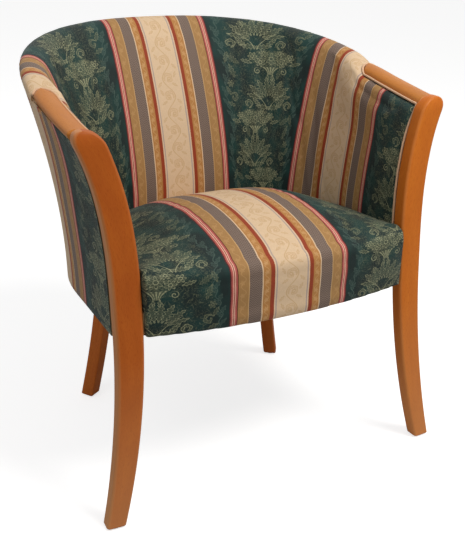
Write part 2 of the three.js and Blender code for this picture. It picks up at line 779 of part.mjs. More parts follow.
const dowelHeights = [railLow + dowelEdge, railHigh - dowelEdge];
const frontDowels = (side) =>
  dowelHeights.map((z) => {
    const face = frontRailEnd(z);
    const y = seatFront(face) + frontRailInset + frontRailThickness / 2 - clearance;
    return { from: new THREE.Vector3(side * (face - dowelLength * (1 - dowelIntoLegShare)), y, z),
      to: new THREE.Vector3(side * (face + dowelLength * dowelIntoLegShare), y, z) };
  });
const sideDowels = (side) =>
  dowelHeights.map((z) => {
    const face = wallPoint(side, 0, z, frameMiddle);
    return { from: new THREE.Vector3(face.x, face.y - dowelLength * dowelIntoLegShare, z),
      to: new THREE.Vector3(face.x, face.y + dowelLength * (1 - dowelIntoLegShare), z) };
  });
const capDowel = (side) => {
  const z = capTop(0) - capThickness / 2;
  const face = wallPoint(side, 0, z, capMiddle(0));
  return { from: new THREE.Vector3(face.x, face.y - capDowelLength * dowelIntoLegShare, z),
    to: new THREE.Vector3(face.x, face.y + capDowelLength * (1 - dowelIntoLegShare), z) };
};
const bore = ({ from, to }, radius) => {
  const reach = new THREE.Vector3().subVectors(to, from).setLength(boreClearance);
  return bar(from.clone().sub(reach), to.clone().add(reach), radius + boreClearance);
};

// A rear leg stands inside the rear rail: its outer face lies along the rail between its two edges.
const rearLegFrame = (side) => {
  const half = shareSpan(rearLegSize / 2, rearLegShare, seatBottom, frameIn);
  const [ahead, behind] = [-half, half].map((step) =>
    wallPoint(side, rearLegShare + step, seatBottom, frameIn));
  const tangent = new THREE.Vector3().subVectors(behind, ahead).normalize();
  const normal = new THREE.Vector3().crossVectors(tangent, alongZ).multiplyScalar(side);
  const top = new THREE.Vector3().addVectors(ahead, behind).multiplyScalar(1 / 2);
  top.addScaledVector(normal, -rearLegSize / 2 - 2 * clearance);
  return { top, normal, tangent };
};
const rearLegHigh = railHigh - 2 * clearance;
function rearLeg(side) {
  const { top, normal, tangent } = rearLegFrame(side);
  const heights = [...levels(glideHeight + clearance, seatBottom, rearLegLevels), rearLegHigh];
  const rings = heights.map((z) => {
    const drop = Math.max(0, 1 - z / seatBottom) ** rearLegPower;
    return roundedSection(rearLegSize, rearLegSize, rearLegEdge).map(([u, v]) =>
      new THREE.Vector3(top.x + side * rearLegSplay * drop, top.y + rearLegRake * drop, z)
        .addScaledVector(normal, u)
        .addScaledVector(tangent, v));
  });
  return loft(rings);
}
const rearLegFoot = (side) => {
  const { top } = rearLegFrame(side);
  const drop = (1 - glideHeight / seatBottom) ** rearLegPower;
  return new THREE.Vector3(top.x + side * rearLegSplay * drop, top.y + rearLegRake * drop, 0);
};
const boltHeight = (railLow + railHigh) / 2;
const rearBolt = (side, grow = 0) => {
  const { top, normal } = rearLegFrame(side);
  const headOut = rearLegSize / 2 + clearance + boltHeadHeight;
  const start = top.clone().setZ(boltHeight).addScaledVector(normal, -headOut);
  const reach = boltHeadHeight + clearance + rearLegSize + (frameOut - frameIn) * boltGripShare;
  const profile = [
    [boltHeadRadius, 0],
    [boltHeadRadius, boltHeadHeight],
    [boltRadius, boltHeadHeight + clearance / 2],
    [boltRadius, reach],
  ];
  return grow
    ? turned([[boltRadius + grow, boltHeadHeight], [boltRadius + grow, reach + grow]], start, normal)
    : turned(profile, start, normal);
};

const frontLegFoot = (side) => new THREE.Vector3(side * legCentre(0), leanAt(0) + legDepth / 2, 0);
const glide = (foot) =>
  turned(
    [[glideRadius, 0], [glideRadius, glideHeight], [glidePinRadius, glideHeight + clearance / 2],
      [glidePinRadius, glideHeight + glidePinLength]],
    foot,
    alongZ,
  );
const glideBore = (foot) => {
  const radius = glidePinRadius + boreClearance;
  return turned([[radius, 0], [radius, glideHeight + glidePinLength + boreClearance]], foot, alongZ);
};

place("front_rail", cutFrom(frontRail, ...sides.flatMap(([, side]) =>
  frontDowels(side).map((dowel) => bore(dowel, dowelRadius)))), frameWood);
place("rear_rail", cutFrom(
  wallPiece(railSection, sideRailShare + clearance / wallLength),
  ...sides.map(([, side]) => rearBolt(side, boreClearance)),
), frameWood);

for (const [name, side] of sides) {
  const dowels = { front: frontDowels(side), side: sideDowels(side) };
  place("front_leg_" + name, cutFrom(
    frontLeg(side),
    ...[...dowels.front, ...dowels.side].map((dowel) => bore(dowel, dowelRadius)),
    bore(capDowel(side), capDowelRadius),
    glideBore(frontLegFoot(side)),
  ), showWood);
  place("rear_leg_" + name, cutFrom(
    rearLeg(side),
    rearBolt(side, boreClearance),
    glideBore(rearLegFoot(side)),
  ), showWood);
  place("arm_cap_" + name, cutFrom(armCap(side), bore(capDowel(side), capDowelRadius)), showWood);
  place("side_rail_" + name, cutFrom(
    wallPiece(railSection, 0, sideRailShare, side),
    ...dowels.side.map((dowel) => bore(dowel, dowelRadius)),
  ), frameWood);
  place("arm_rail_" + name, wallPiece(armRailSection, 0, topRailFrom - railEndStep, side), frameWood);
  place("rear_post_" + name,
    wallPiece(postSection, rearPostShare - halfPost, rearPostShare + halfPost, side), frameWood);
  place("front_glide_" + name, glide(frontLegFoot(side)), nylon);
  place("rear_glide_" + name, glide(rearLegFoot(side)), nylon);
  place("rear_leg_bolt_" + name, rearBolt(side), wire);
  place("cap_dowel_" + name, bar(capDowel(side).from, capDowel(side).to, capDowelRadius), frameWood);
  for (const [kind, pair] of Object.entries(dowels)) {
    pair.forEach(({ from, to }, i) =>
      place(kind + "_rail_dowel_" + name + "_" + ["low", "high"][i], bar(from, to, dowelRadius), frameWood));
  }
}

// Corner blocks
for (const [name, side] of sides) {
  const railFace = Math.min(...[railLow, railHigh].map((z) => wallPoint(1, 0, z, frameIn).x)) - clearance;
  const behindRail = (x, z) => [x, Math.max(frontRailBack(x), legBack(z, x)) + clearance];
  const outline = (z) => {
    const legFace = legBack(z, railFace) + clearance;
    return [
      [railFace, legFace],
      [railFace, legBack(railHigh, railFace) + blockReach],
      behindRail(railFace - blockReach, z),
      behindRail(frontRailEnd(railHigh), z),
    ];
  };
  place("front_block_" + name, loft([railLow + clearance, railHigh - clearance].map((z) =>
    outline(z).map(([x, y]) => new THREE.Vector3(side * x, y, z)))), frameWood);

  const blockFace = frameIn - clearance;
  const span = (distance) => shareSpan(distance, rearLegShare, railLow, blockFace - rearBlockDepth);
  const legEdge = rearLegShare - span(rearLegSize / 2 + 3 * clearance);
  place("rear_block_" + name, wallPiece(
    bandSection(blockFace - rearBlockDepth, blockFace, () => railLow, () => rearLegHigh, bandLevels),
    legEdge - span(rearBlockWidth),
    legEdge,
    side,
  ), frameWood);
}

// Welts: along the inner edge of a cap, round its rear end, and down the inner rear edge of the leg.
function welt(side) {
  const half = capWidth / 2;
  const capInner = (share) => capMiddle(share) - half;
  const corner = capUnder(0) - weltSeat;
  const legPart = [...levels(linerLow + weltRadius, corner - weltRadius, weltLegSteps), corner].map((z) => {
    const x = insideX(0, z) + capInner(0) * smoothstep(z, corner - weltCornerLength, corner);
    return new THREE.Vector3(side * x, legBack(z, x) + weltSeat, z);
  });
  const capPart = levels(weltSeat + weltRadius, capLength - half - weltTurnLength, weltCapSteps).map((at) => {
    const share = at / wallLength;
    return wallPoint(side, share, capUnder(share) - weltSeat, capInner(share));
  });
  // From under the cap's edge to beside it
  const turnPart = levels(0, Math.PI / 2, weltTurnSteps).slice(1).map((angle) => {
    const share = (capLength - half - weltTurnLength * Math.cos(angle)) / wallLength;
    const depth = capInner(share) - weltSeat * Math.sin(angle);
    return wallPoint(side, share, capUnder(share) - weltSeat * Math.cos(angle), depth);
  });
  const endPart = levels(0, weltEndAngle, weltCapSteps).slice(1).map((angle) => {
    const share = (capLength - half + (half + weltSeat) * Math.sin(angle)) / wallLength;
    const z = lerp(capUnder(share), capTop(share) - weltRadius, Math.sin(angle));
    return wallPoint(side, share, z, capMiddle(share) - (half + weltSeat) * Math.cos(angle));
  });
  return tube([...legPart, ...capPart, ...turnPart, ...endPart], weltRadius, weltSteps, weltSides);
}
for (const [name, side] of sides) place("welt_" + name, welt(side), piping);

// Springs and their clips
const springXs = levels(-springSpan / 2, springSpan / 2, springCount - 1);

function spring(x, front, back) {
  const pitch = (back - front - 2 * springLead) / springRuns;
  const point = (dx, y) => new THREE.Vector3(x + dx, y, springLow + springArch(x, y));
  const bends = Array.from({ length: springRuns }, (_, i) => {
    const way = i % 2 ? -1 : 1;
    const y = front + springLead + (i + 1 / 2) * pitch;
    return [-bendRoundShare, bendRoundShare].map((part) => point(way * springBend, y + pitch * part));
  }).flat();
  const endBar = springEndShares.map((part) => part * (clipWidth / 2 + springWire));
  const lastWay = springRuns % 2 ? 1 : -1;
  const path = [
    ...endBar.map((dx) => point(dx, front)),
    ...bends,
    ...endBar.map((dx) => point(-dx * lastWay, back)),
  ];
  const curve = new THREE.CatmullRomCurve3(path, false, "centripetal");
  const steps = springStepsPerRun * springRuns;
  return loft(levels(0, 1, steps).map((part) => {
    const middle = curve.getPointAt(part);
    const across = new THREE.Vector3().crossVectors(curve.getTangentAt(part), alongZ).normalize();
    return Array.from({ length: springSides }, (_, i) => {
      const angle = (2 * Math.PI * i) / springSides;
      return middle.clone()
        .addScaledVector(across, springWire * Math.cos(angle))
        .addScaledVector(alongZ, springWire * Math.sin(angle));
    });
  }));
}

// A clip: a folded strip that holds the end bar of a spring, with a tail that is nailed to the rail.
function springClip(way) {
  const t = clipThickness;
  const hold = springWire + clearance;
  const high = 2 * hold + t;
  const outline = [
    [-hold - clipTail, 0], [hold, 0], [hold, t], [-hold, t], [-hold, high], [hold, high], [hold, high + t],
    [-hold - t, high + t], [-hold - t, t], [-hold - clipTail, t],
  ];
  const shape = new THREE.Shape(outline.map(([y, z]) => new THREE.Vector2(way * y, z)));
  const strip = new THREE.ExtrudeGeometry(shape, { depth: clipWidth, bevelEnabled: false });
  strip.translate(0, 0, -clipWidth / 2);
  return strip.applyMatrix4(new THREE.Matrix4().makeBasis(alongY, alongZ, alongX));
}

springXs.forEach((x, index) => {
  const [front, back] = [springFront(x), rearRailMiddle(x)];
  place("seat_spring_" + (index + 1), spring(x, front, back), wire);
  for (const [end, way, y] of [["front", 1, front], ["rear", -1, back]]) {
    const clip = springClip(way).translate(x, y, railHigh + clearance);
    place("spring_clip_" + end + "_" + (index + 1), clip, wire);
  }
});

// Dust cover under the seat, cut round the legs.
const dustCover = (() => {
  const reach = frameMiddle;
  const rear = [
    ...stations.map((share) => wallPoint(-1, share, seatBottom, reach)),
    ...[...stations].reverse().slice(1).map((share) => wallPoint(1, share, seatBottom, reach)),
  ];
  const edge = wallPoint(1, 0, seatBottom, reach).x;
  const frontEnd = frontRailEnd(seatBottom);
  const front = [edge, ...levels(frontEnd, -frontEnd, dustFrontSteps), -edge].map((x) =>
    new THREE.Vector3(x, seatFront(clamp(x, -frontEnd, frontEnd)) + frontRailInset + clearance, 0));
  const shape = new THREE.Shape([...rear, ...front].map(({ x, y }) => new THREE.Vector2(x, y)));
  const sheet = new THREE.ExtrudeGeometry(shape, { depth: dustThickness, bevelEnabled: false });
  sheet.translate(0, 0, seatBottom + clearance);
  const notches = sides.flatMap(([, side]) => {
    const inner = legInside(seatBottom) - legToeShift - layerGap;
    const legRoom = legBack(seatBottom, edge) + layerGap;
    const front = new THREE.BoxGeometry(2 * edge, 2 * legRoom, overrun);
    front.translate(side * (inner + edge), 0, seatBottom);
    const { top, normal } = rearLegFrame(side);
    const rear = new THREE.BoxGeometry(rearLegSize + 2 * layerGap, rearLegSize + 2 * layerGap, overrun);
    rear.rotateZ(Math.atan2(normal.y, normal.x)).translate(top.x, top.y, seatBottom);
    return [front, rear];
  });
  return cutFrom(sheet, ...notches);
})();
place("dust_cover", dustCover, liningCloth);

// Stand the chair on the floor, centred on the origin.
const box = new THREE.Box3().setFromObject(chair);
const middle = box.getCenter(new THREE.Vector3());
chair.position.set(-middle.x, -middle.y, -box.min.z);

export default chair;
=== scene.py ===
import functools
import json
import math

import bmesh
import bpy
import numpy as np
from mathutils import Matrix, Vector
from mathutils.bvhtree import BVHTree


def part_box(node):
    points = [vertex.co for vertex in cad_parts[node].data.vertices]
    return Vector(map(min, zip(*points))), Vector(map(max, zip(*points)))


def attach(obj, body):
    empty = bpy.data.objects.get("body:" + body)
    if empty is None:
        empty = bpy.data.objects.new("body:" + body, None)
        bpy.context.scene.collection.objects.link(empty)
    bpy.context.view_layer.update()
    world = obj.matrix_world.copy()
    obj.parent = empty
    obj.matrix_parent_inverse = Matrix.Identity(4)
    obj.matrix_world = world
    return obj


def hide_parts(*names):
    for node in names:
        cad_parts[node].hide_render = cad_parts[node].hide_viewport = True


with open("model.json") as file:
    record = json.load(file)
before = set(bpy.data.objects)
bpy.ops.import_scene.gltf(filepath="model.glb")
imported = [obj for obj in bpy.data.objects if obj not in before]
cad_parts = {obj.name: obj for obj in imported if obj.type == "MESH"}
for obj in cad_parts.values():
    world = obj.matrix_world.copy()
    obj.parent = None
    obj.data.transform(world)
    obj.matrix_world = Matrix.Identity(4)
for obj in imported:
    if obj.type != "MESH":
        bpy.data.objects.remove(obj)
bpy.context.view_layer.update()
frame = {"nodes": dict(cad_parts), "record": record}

# Front legs
LEG_HEIGHT = 0.684
LEG_DEPTH = 0.027
LEG_FOOT_WIDTH = 0.0346
LEG_FULL_WIDTH = 0.0484
LEG_FULL_HEIGHT = 0.480
LEG_EDGE = 0.0055
LEG_TOE = math.radians(3.4)
LEG_LEAN = 0.083
LEAN_CURVE_SHARE = 0.13
WAIST_HEIGHT = 0.360
WAIST_HALF_SPAN = 0.2825
FOOT_FLARE = 0.0467
HEAD_FLARE = 0.054
HEAD_SWELL = 0.005
HEAD_SWELL_HEIGHT = 0.084
HEAD_TOP = 0.679
HEAD_ROUND = 0.026
HEAD_NOSE_SHARE = 0.4
HEAD_POWER = 0.92
HEAD_END_SHARE = 0.985
GLIDE_TOP = 0.0034
FOOT_BEVEL = 0.0012
FOOT_SCALES = 0.94, 0.92  # of the width and the depth, at the bevel's foot
SHAFT_START = 0.003
MOST_ROUND = 0.45  # a corner's radius, as a share of the section's side
CORNER_POINTS = 7
INNER_EDGE_HIGHLIGHT = 0.25  # how strong the painted highlight on a leg's inner edges is beside its outer side

# Arm caps
CAP_LENGTH = 0.193
CAP_THICKNESS = 0.015
CAP_WIDTH = 0.038
CAP_FRONT_DROP = 0.008
CAP_RISE = 0.024
CAP_RISE_POWER = 1.2
CAP_DRIFT = 0.006
CAP_DRIFT_POWER = 1.5
CAP_TOP_ROUND_SHARE = 0.7
CAP_CROWN_POWER = 0.85
CAP_EDGE = 0.0016
CAP_END_FULLNESS = 0.97

# Barrel wall
WALL = 0.046
SEAT_BOTTOM = 0.337
ARM_HEIGHT = 0.691
ARM_FLARE = 0.053
ARM_FLARE_POWER = 1.9
BEND_START = 0.235
BACK_INSIDE = 0.460
BACK_FLARE = 0.104
BACK_FLARE_POWER = 2
PLAN_POWER = 2.5
RIM_START = 0.704
RIM_MIDDLE = 0.760
RIM_POWER = 2.23
ROLL_HEIGHT = 0.024
ROLL_SIDE_HEIGHT = 0.017
ROLL_DROP = 0.018
LINER_LOW = 0.392
CLEARANCE = 0.0004
WALL_START_SHARE = 0.004  # the cloth starts just behind the leg
WALL_COLUMNS = 150

# Padding of the wall: its swelling beside an arm cap, the seam under the cap, and the rim behind it
SWELL_LOW = 0.570
SWELL_FRONT = 0.004
SWELL_REAR = 0.013
SWELL_AHEAD = 0.010
SWELL_RUN_OUT = 0.090
SHOULDER = 0.0125
SEAM_RISE = 0.0005
SEAM_IN = 0.002
RIM_DIP = 0.008
RIM_DIP_LENGTH = 0.045
RIM_AHEAD = 0.006
RIM_BEHIND = 0.005
PAD_DEPTH = 0.013
COVER_INSET = 0.0012

# Outside cover
HEM = 0.0022
HEM_DEPTHS = 0.006, 0.003, 0.003, 0.0042  # inside the wall's outer face: two below, two above
OUTSIDE_INSET = 0.0014
OUTSIDE_TIGHT = 0.0004
OUTSIDE_PUFF = 0.0012
OUTSIDE_ROWS = 46
OUTSIDE_GAP = 0.0006
FLAP_RUN = 0.0066

# Welts
WELT_RADIUS = 0.0022
WELT_SEAT = 0.0028
WELT_CORNER = 0.050
WELT_END_ANGLE = math.radians(150)
PIPING_IN = 0.0024
PIPING_UP = 0.0010
PIPING_STEP = 0.0025
PIPING_SIDES = 14
PIPING_END_SCALE = 0.75
WELL_GROW = WELT_SEAT + WELT_RADIUS * 0.7
WELL_OUTSIDE = 0.012
WELL_ABOVE = 0.05
WELL_AHEAD = 0.03

# Rear legs
REAR_LEG_SIZE = 0.0285
REAR_LEG_SPLAY = 0.042
REAR_LEG_RAKE = 0.012
REAR_LEG_POWER = 1.6
REAR_LEG_EDGE = 0.0035
REAR_LEG_SHARE = 0.645
REAR_FOOT_BEVEL = 0.0015
REAR_FOOT_SCALE = 0.94
FRAME_IN = 0.0228

# Seat
SEAT_FRONT = 0.0065
SEAT_FRONT_BOW = 0.0285
SEAT_EDGE_HEIGHT = 0.443
SEAT_CROWN = 0.043
SEAT_CROWN_SHARE = 0.41
SEAT_CROWN_POWER = 2.1
SEAT_REAR_HEIGHT = 0.402
SEAT_REAR_POWER = 1.8
SEAT_SIDE_RISE = 0.056
SEAT_SIDE_RISE_POWER = 1.3
SEAT_FLAT_SHARE = 0.34
SEAT_SIDE_POWER = 1.2
SEAT_FRONT_ROUND = 0.016
SEAT_GAP = 0.0016
SEAT_INSET = 0.0018
SEAT_LEG_FILL = 0.0028
SEAT_FILL_END = 0.075, 0.110  # behind the front legs
SEAT_PAD_LOW = 0.048
SEAT_PAD_BACK = 0.012
SEAT_TACKED = 0.008
SEAT_TOP_SPREAD = 1.15
SEAT_GROUP_WIDTH = 0.234

# Blowing up a padded piece
VOXEL = 0.005
BACK_HELD_DEPTH = 0.0035
SEAT_HELD_DEPTH = 0.004
HELD_EASE = 0.002
PRESSURE = 3.0
PUFF_MOST = 0.006
PUFF_FRAMES = 15

# The cloth's repeats, and where its stripe groups lie as shares of the wall's length
CLOTH_PERIOD = 0.430
GROUP_HALF = 0.112
SIDE_GROUP_SHARE = 0.305
OUTSIDE_GROUP_SHARE = 0.322
OUTSIDE_LEAN_SHARE = -0.050
OUTSIDE_LEAN_SPAN = 0.45, 0.66  # the heights over which the group leans
DAMASK_REPEAT = 0.232
DAMASK_STEP = 16  # millimetres
DAMASK_WIDEN = 1.18


def lerp(a, b, t):
    return a + (b - a) * t


def smooth_step(x, low, high):
    t = np.clip((x - low) / (high - low), 0, 1)
    return t * t * (3 - 2 * t)


def stacked(*values):
    """Points or cloth places from their coordinates, each a number or an array."""
    return np.stack(np.broadcast_arrays(*values), axis=-1)


def run_along(*values):
    """Distance from a line's first point to each of its points."""
    return np.append(0, np.cumsum(functools.reduce(np.hypot, [np.diff(v) for v in values])))


def assign(target, **values):
    for name, value in values.items():
        setattr(target, name, value)


low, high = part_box("front_glide_right")
ORIGIN_Y = (low.y + high.y) / 2 - LEG_DEPTH / 2


def to_frame(points):
    return np.asarray(points, float) + np.array([0, ORIGIN_Y, 0])


# Plan of the chair

def lean(z):
    t = z / LEG_HEIGHT
    return LEG_LEAN * ((1 - LEAN_CURVE_SHARE) * t + LEAN_CURVE_SHARE * t * t)


def leg_centre(z):
    z = np.asarray(z, float)
    below = WAIST_HALF_SPAN + FOOT_FLARE * ((WAIST_HEIGHT - z) / WAIST_HEIGHT) ** 2
    above = WAIST_HALF_SPAN + HEAD_FLARE * ((z - WAIST_HEIGHT) / (LEG_HEIGHT - WAIST_HEIGHT)) ** 3
    return np.where(z < WAIST_HEIGHT, below, above)


def leg_width(z):
    grown = 1 - (1 - np.minimum(z / LEG_FULL_HEIGHT, 1)) ** 2
    swell = np.maximum(0, (z - LEG_HEIGHT + HEAD_SWELL_HEIGHT) / HEAD_SWELL_HEIGHT) ** 2
    return lerp(LEG_FOOT_WIDTH, LEG_FULL_WIDTH, grown) + HEAD_SWELL * swell


def leg_back(z, x):
    return lean(z) + LEG_DEPTH + (x - leg_centre(z)) * math.tan(LEG_TOE)


def risen(z):
    return np.maximum(0, z - SEAT_BOTTOM) / (ARM_HEIGHT - SEAT_BOTTOM)


def side_centre(z):
    return WAIST_HALF_SPAN + ARM_FLARE * risen(z) ** ARM_FLARE_POWER


def back_inside(z):
    return BACK_INSIDE + BACK_FLARE * risen(z) ** BACK_FLARE_POWER


def quarter(angle, a, b):
    power = 2 / PLAN_POWER
    return a * np.sin(angle) ** power, b * np.maximum(np.cos(angle), 0) ** power


CAP_UNDER_FRONT = LEG_HEIGHT - CAP_FRONT_DROP - CAP_THICKNESS
_under = ARM_HEIGHT - CAP_THICKNESS
ARM_LENGTH = float(BEND_START - leg_back(_under, leg_centre(_under)))
ARC_ANGLES = np.linspace(math.pi / 2, 0, 401)
_x, _y = quarter(ARC_ANGLES, side_centre(ARM_HEIGHT), back_inside(ARM_HEIGHT) + WALL / 2 - BEND_START)
ARC_LENGTHS = run_along(_x, _y)
WALL_LENGTH = ARM_LENGTH + ARC_LENGTHS[-1]
BEND_SHARE = ARM_LENGTH / WALL_LENGTH
CAP_END_SHARE = CAP_LENGTH / WALL_LENGTH


def inside_x(share, z):
    blend = smooth_step(share, 0, BEND_SHARE)
    return lerp(leg_centre(np.minimum(z, LEG_HEIGHT)), side_centre(z), blend) - WALL / 2


def plan(share, z, depth):
    """Points of the wall at a share of its length, a height and a depth from its inner face."""
    share, z, depth = np.broadcast_arrays(*[np.asarray(v, float) for v in (share, z, depth)])
    straight_x = inside_x(share, z) + depth
    straight_y = lerp(leg_back(z, straight_x) + CLEARANCE, BEND_START, share / BEND_SHARE)
    a, b = inside_x(1, z), back_inside(z) - BEND_START
    wanted = np.clip((share - BEND_SHARE) / (1 - BEND_SHARE), 0, 1) * ARC_LENGTHS[-1]
    x, y = quarter(np.interp(wanted, ARC_LENGTHS, ARC_ANGLES), a, b)
    slope = PLAN_POWER - 1
    normal = np.stack([x ** slope / a ** PLAN_POWER, y ** slope / b ** PLAN_POWER])
    normal /= np.linalg.norm(normal, axis=0)
    bent = share >= BEND_SHARE
    return (
        np.where(bent, x + depth * normal[0], straight_x),
        np.where(bent, BEND_START + y + depth * normal[1], straight_y),
    )


def wall_points(side, share, z, depth):
    x, y = plan(share, z, depth)
    return stacked(side * x, y, z)


def along_cap(share):
    return np.minimum(share / CAP_END_SHARE, 1)


def cap_top(share):
    return LEG_HEIGHT - CAP_FRONT_DROP + CAP_RISE * along_cap(share) ** CAP_RISE_POWER


def cap_under(share):
    return cap_top(share) - CAP_THICKNESS


def cap_middle(share):
    """Depth of an arm cap's middle: its outer side starts flush with the wall's."""
    return WALL - CAP_WIDTH / 2 - CAP_DRIFT * along_cap(share) ** CAP_DRIFT_POWER


def along_rim(share):
    return np.clip((share - CAP_END_SHARE) / (1 - CAP_END_SHARE), 0, 1)


def rim_top(share):
    return RIM_START + (RIM_MIDDLE - RIM_START) * (1 - (1 - along_rim(share)) ** RIM_POWER)


def roll_low(share):
    return rim_top(share) - lerp(ROLL_SIDE_HEIGHT, ROLL_HEIGHT, along_rim(share))


# Seat

def seat_half_width(y, z):
    inside = leg_centre(z) - leg_width(z) / 2
    blend = smooth_step(y, leg_back(z, inside), BEND_START)
    toe = LEG_DEPTH / 2 * math.sin(LEG_TOE)
    return lerp(inside - toe, side_centre(z) - WALL / 2, blend) - SEAT_GAP


SEAT_SQUARE = float(seat_half_width(0, SEAT_EDGE_HEIGHT))


def seat_front(x):
    return SEAT_FRONT + SEAT_FRONT_BOW * (x / SEAT_SQUARE) ** 2


def seat_height(x, y):
    front = seat_front(x)
    rear = float(back_inside(SEAT_REAR_HEIGHT))
    part = np.clip((y - front) / (rear - front), 0, 1)
    crown = SEAT_EDGE_HEIGHT + SEAT_CROWN
    rise = np.maximum(SEAT_CROWN_SHARE - part, 0) / SEAT_CROWN_SHARE
    fall = np.maximum(part - SEAT_CROWN_SHARE, 0) / (1 - SEAT_CROWN_SHARE)
    middle = crown - SEAT_CROWN * rise ** SEAT_CROWN_POWER
    middle -= (crown - SEAT_REAR_HEIGHT) * fall ** SEAT_REAR_POWER
    edge = SEAT_REAR_HEIGHT + SEAT_SIDE_RISE * (1 - part) ** SEAT_SIDE_RISE_POWER
    bent = np.clip((y - BEND_START) / (rear - BEND_START), 0, 1)
    half_width = seat_half_width(y, SEAT_EDGE_HEIGHT) * (1 - bent ** PLAN_POWER) ** (1 / PLAN_POWER)
    out = np.minimum(np.abs(x) / np.maximum(half_width, 1e-6), 1)
    side_fall = np.maximum(out - SEAT_FLAT_SHARE, 0) / (1 - SEAT_FLAT_SHARE)
    return lerp(middle, np.minimum(middle, edge), side_fall ** SEAT_SIDE_POWER)


# Meshes

def grid_faces(rows, columns, closed=False, start=0):
    """Faces of a grid of points laid out row by row; closed joins the last column to the first."""
    i = np.arange(rows - 1)[:, None]
    j = np.arange(columns if closed else columns - 1)[None, :]
    k = (j + 1) % columns
    quads = np.stack(np.broadcast_arrays(
        i * columns + j, i * columns + k, (i + 1) * columns + k, (i + 1) * columns + j), axis=-1)
    return (quads.reshape(-1, 4) + start).tolist()


def add_object(name, data):
    obj = bpy.data.objects.new(name, data)
    bpy.context.scene.collection.objects.link(obj)
    return obj


def new_mesh(name, points, faces, material=None, uv=None, grain=None):
    """A smooth object from points in the formulas' frame, with cloth or grain coordinates for each point."""
    mesh = bpy.data.meshes.new(name)
    mesh.from_pydata(to_frame(points).tolist(), [], faces)
    if uv is not None:
        set_uv(mesh, uv)
    if grain is not None:
        attribute = mesh.attributes.new("grain", "FLOAT_VECTOR", "POINT")
        attribute.data.foreach_set("vector", np.asarray(grain, np.float32).ravel())
    mesh.validate()
    mesh.polygons.foreach_set("use_smooth", [True] * len(mesh.polygons))
    if material:
        mesh.materials.append(material)
    return add_object(name, mesh)


def set_uv(mesh, uv):
    layer = mesh.uv_layers.new(name="cloth")
    corners = np.zeros(len(mesh.loops), np.int32)
    mesh.loops.foreach_get("vertex_index", corners)
    layer.data.foreach_set("uv", np.asarray(uv, np.float32)[corners].ravel())


def face_outwards(obj):
    """Turns the faces of a closed mesh outwards."""
    edit = bmesh.new()
    edit.from_mesh(obj.data)
    bmesh.ops.recalc_face_normals(edit, faces=edit.faces)
    edit.to_mesh(obj.data)
    edit.free()


def paint(obj, material):
    obj.data.materials.clear()
    obj.data.materials.append(material)


def apply_modifiers(obj):
    graph = bpy.context.evaluated_depsgraph_get()
    mesh = bpy.data.meshes.new_from_object(obj.evaluated_get(graph), depsgraph=graph)
    obj.modifiers.clear()
    obj.data = mesh


def modify(obj, kind, **values):
    """Gives an object a modifier with these settings, and applies it."""
    assign(obj.modifiers.new(kind.lower(), kind), **values)
    apply_modifiers(obj)


def loft(name, rings, material=None, **places):
    """A closed body through rings of points, with a fan at each end; places are its uv or its grain."""
    def with_ends(values):
        values = np.asarray(values)
        ends = [values[0].mean(0, keepdims=True), values[-1].mean(0, keepdims=True)]
        return np.concatenate([values.reshape(-1, values.shape[-1]), *ends])

    count, sides = np.shape(rings)[:2]
    faces = grid_faces(count, sides, closed=True)
    first, last = count * sides, count * sides + 1
    for j in range(sides):
        k = (j + 1) % sides
        faces.append([k, j, first])
        faces.append([(count - 1) * sides + j, (count - 1) * sides + k, last])
    places = {kind: with_ends(values) for kind, values in places.items()}
    obj = new_mesh(name, with_ends(rings), faces, material, **places)
    face_outwards(obj)
    return obj


def rounded_section(width, depth, radius):
    """A rectangle with round corners, as pairs from its middle."""
    corners = []
    for quadrant, (sx, sy) in enumerate([(1, 1), (-1, 1), (-1, -1), (1, -1)]):
        angles = math.pi / 2 * (quadrant + np.linspace(0, 1, CORNER_POINTS))
        x = sx * (width / 2 - radius) + radius * np.cos(angles)
        y = sy * (depth / 2 - radius) + radius * np.sin(angles)
        corners.append(stacked(x, y))
    return np.concatenate(corners)


# Node fields

class Field:
    """A number that varies over a surface: a node's output, with arithmetic."""

    def __init__(self, socket):
        self.socket = socket

    def __add__(self, other):
        return op("ADD", self, other)

    def __radd__(self, other):
        return op("ADD", other, self)

    def __sub__(self, other):
        return op("SUBTRACT", self, other)

    def __rsub__(self, other):
        return op("SUBTRACT", other, self)

    def __mul__(self, other):
        return op("MULTIPLY", self, other)

    def __rmul__(self, other):
        return op("MULTIPLY", other, self)

    def __truediv__(self, other):
        return op("DIVIDE", self, other)

    def __pow__(self, other):
        return op("POWER", self, other)


def tree_of(*values):
    return next(v.socket.id_data for v in values if isinstance(v, Field))


def put(socket, value):
    if isinstance(value, Field):
        socket.id_data.links.new(value.socket, socket)
    else:
        socket.default_value = value


def put_all(node, values):
    """Links or sets a node's inputs by name."""
    for name, value in values.items():
        put(node.inputs[name], value)


def op(operation, *values, clamp=False):
    node = tree_of(*values).nodes.new("ShaderNodeMath")
    node.operation = operation
    node.use_clamp = clamp
    for socket, value in zip(node.inputs, values):
        put(socket, value)
    return Field(node.outputs[0])


def sine(v):
    return op("SINE", v)


def cosine(v):
    return op("COSINE", v)


def absolute(v):
    return op("ABSOLUTE", v)


def length(x, y):
    return op("SQRT", x * x + y * y)


def wave(v, period):
    return sine(v * (2 * math.pi / period))


def repeat(v, period):
    """v brought into 0 to period."""
    return op("FLOORED_MODULO", v, period)


def teeth(v):
    """Straight waves between 0 and 1, one to each whole number."""
    return absolute(op("FRACT", v) - 0.5) * 2


def below(v, limit, soft):
    """1 where v is under limit, 0 above it, with a soft edge."""
    return op("MULTIPLY_ADD", limit - v, 1 / soft, 0.5, clamp=True)


def above(v, limit, soft):
    return op("MULTIPLY_ADD", v - limit, 1 / soft, 0.5, clamp=True)


def within(v, half, soft=0.7):
    """1 where v is within half of 0: a line or a stripe."""
    return below(absolute(v), half, soft)


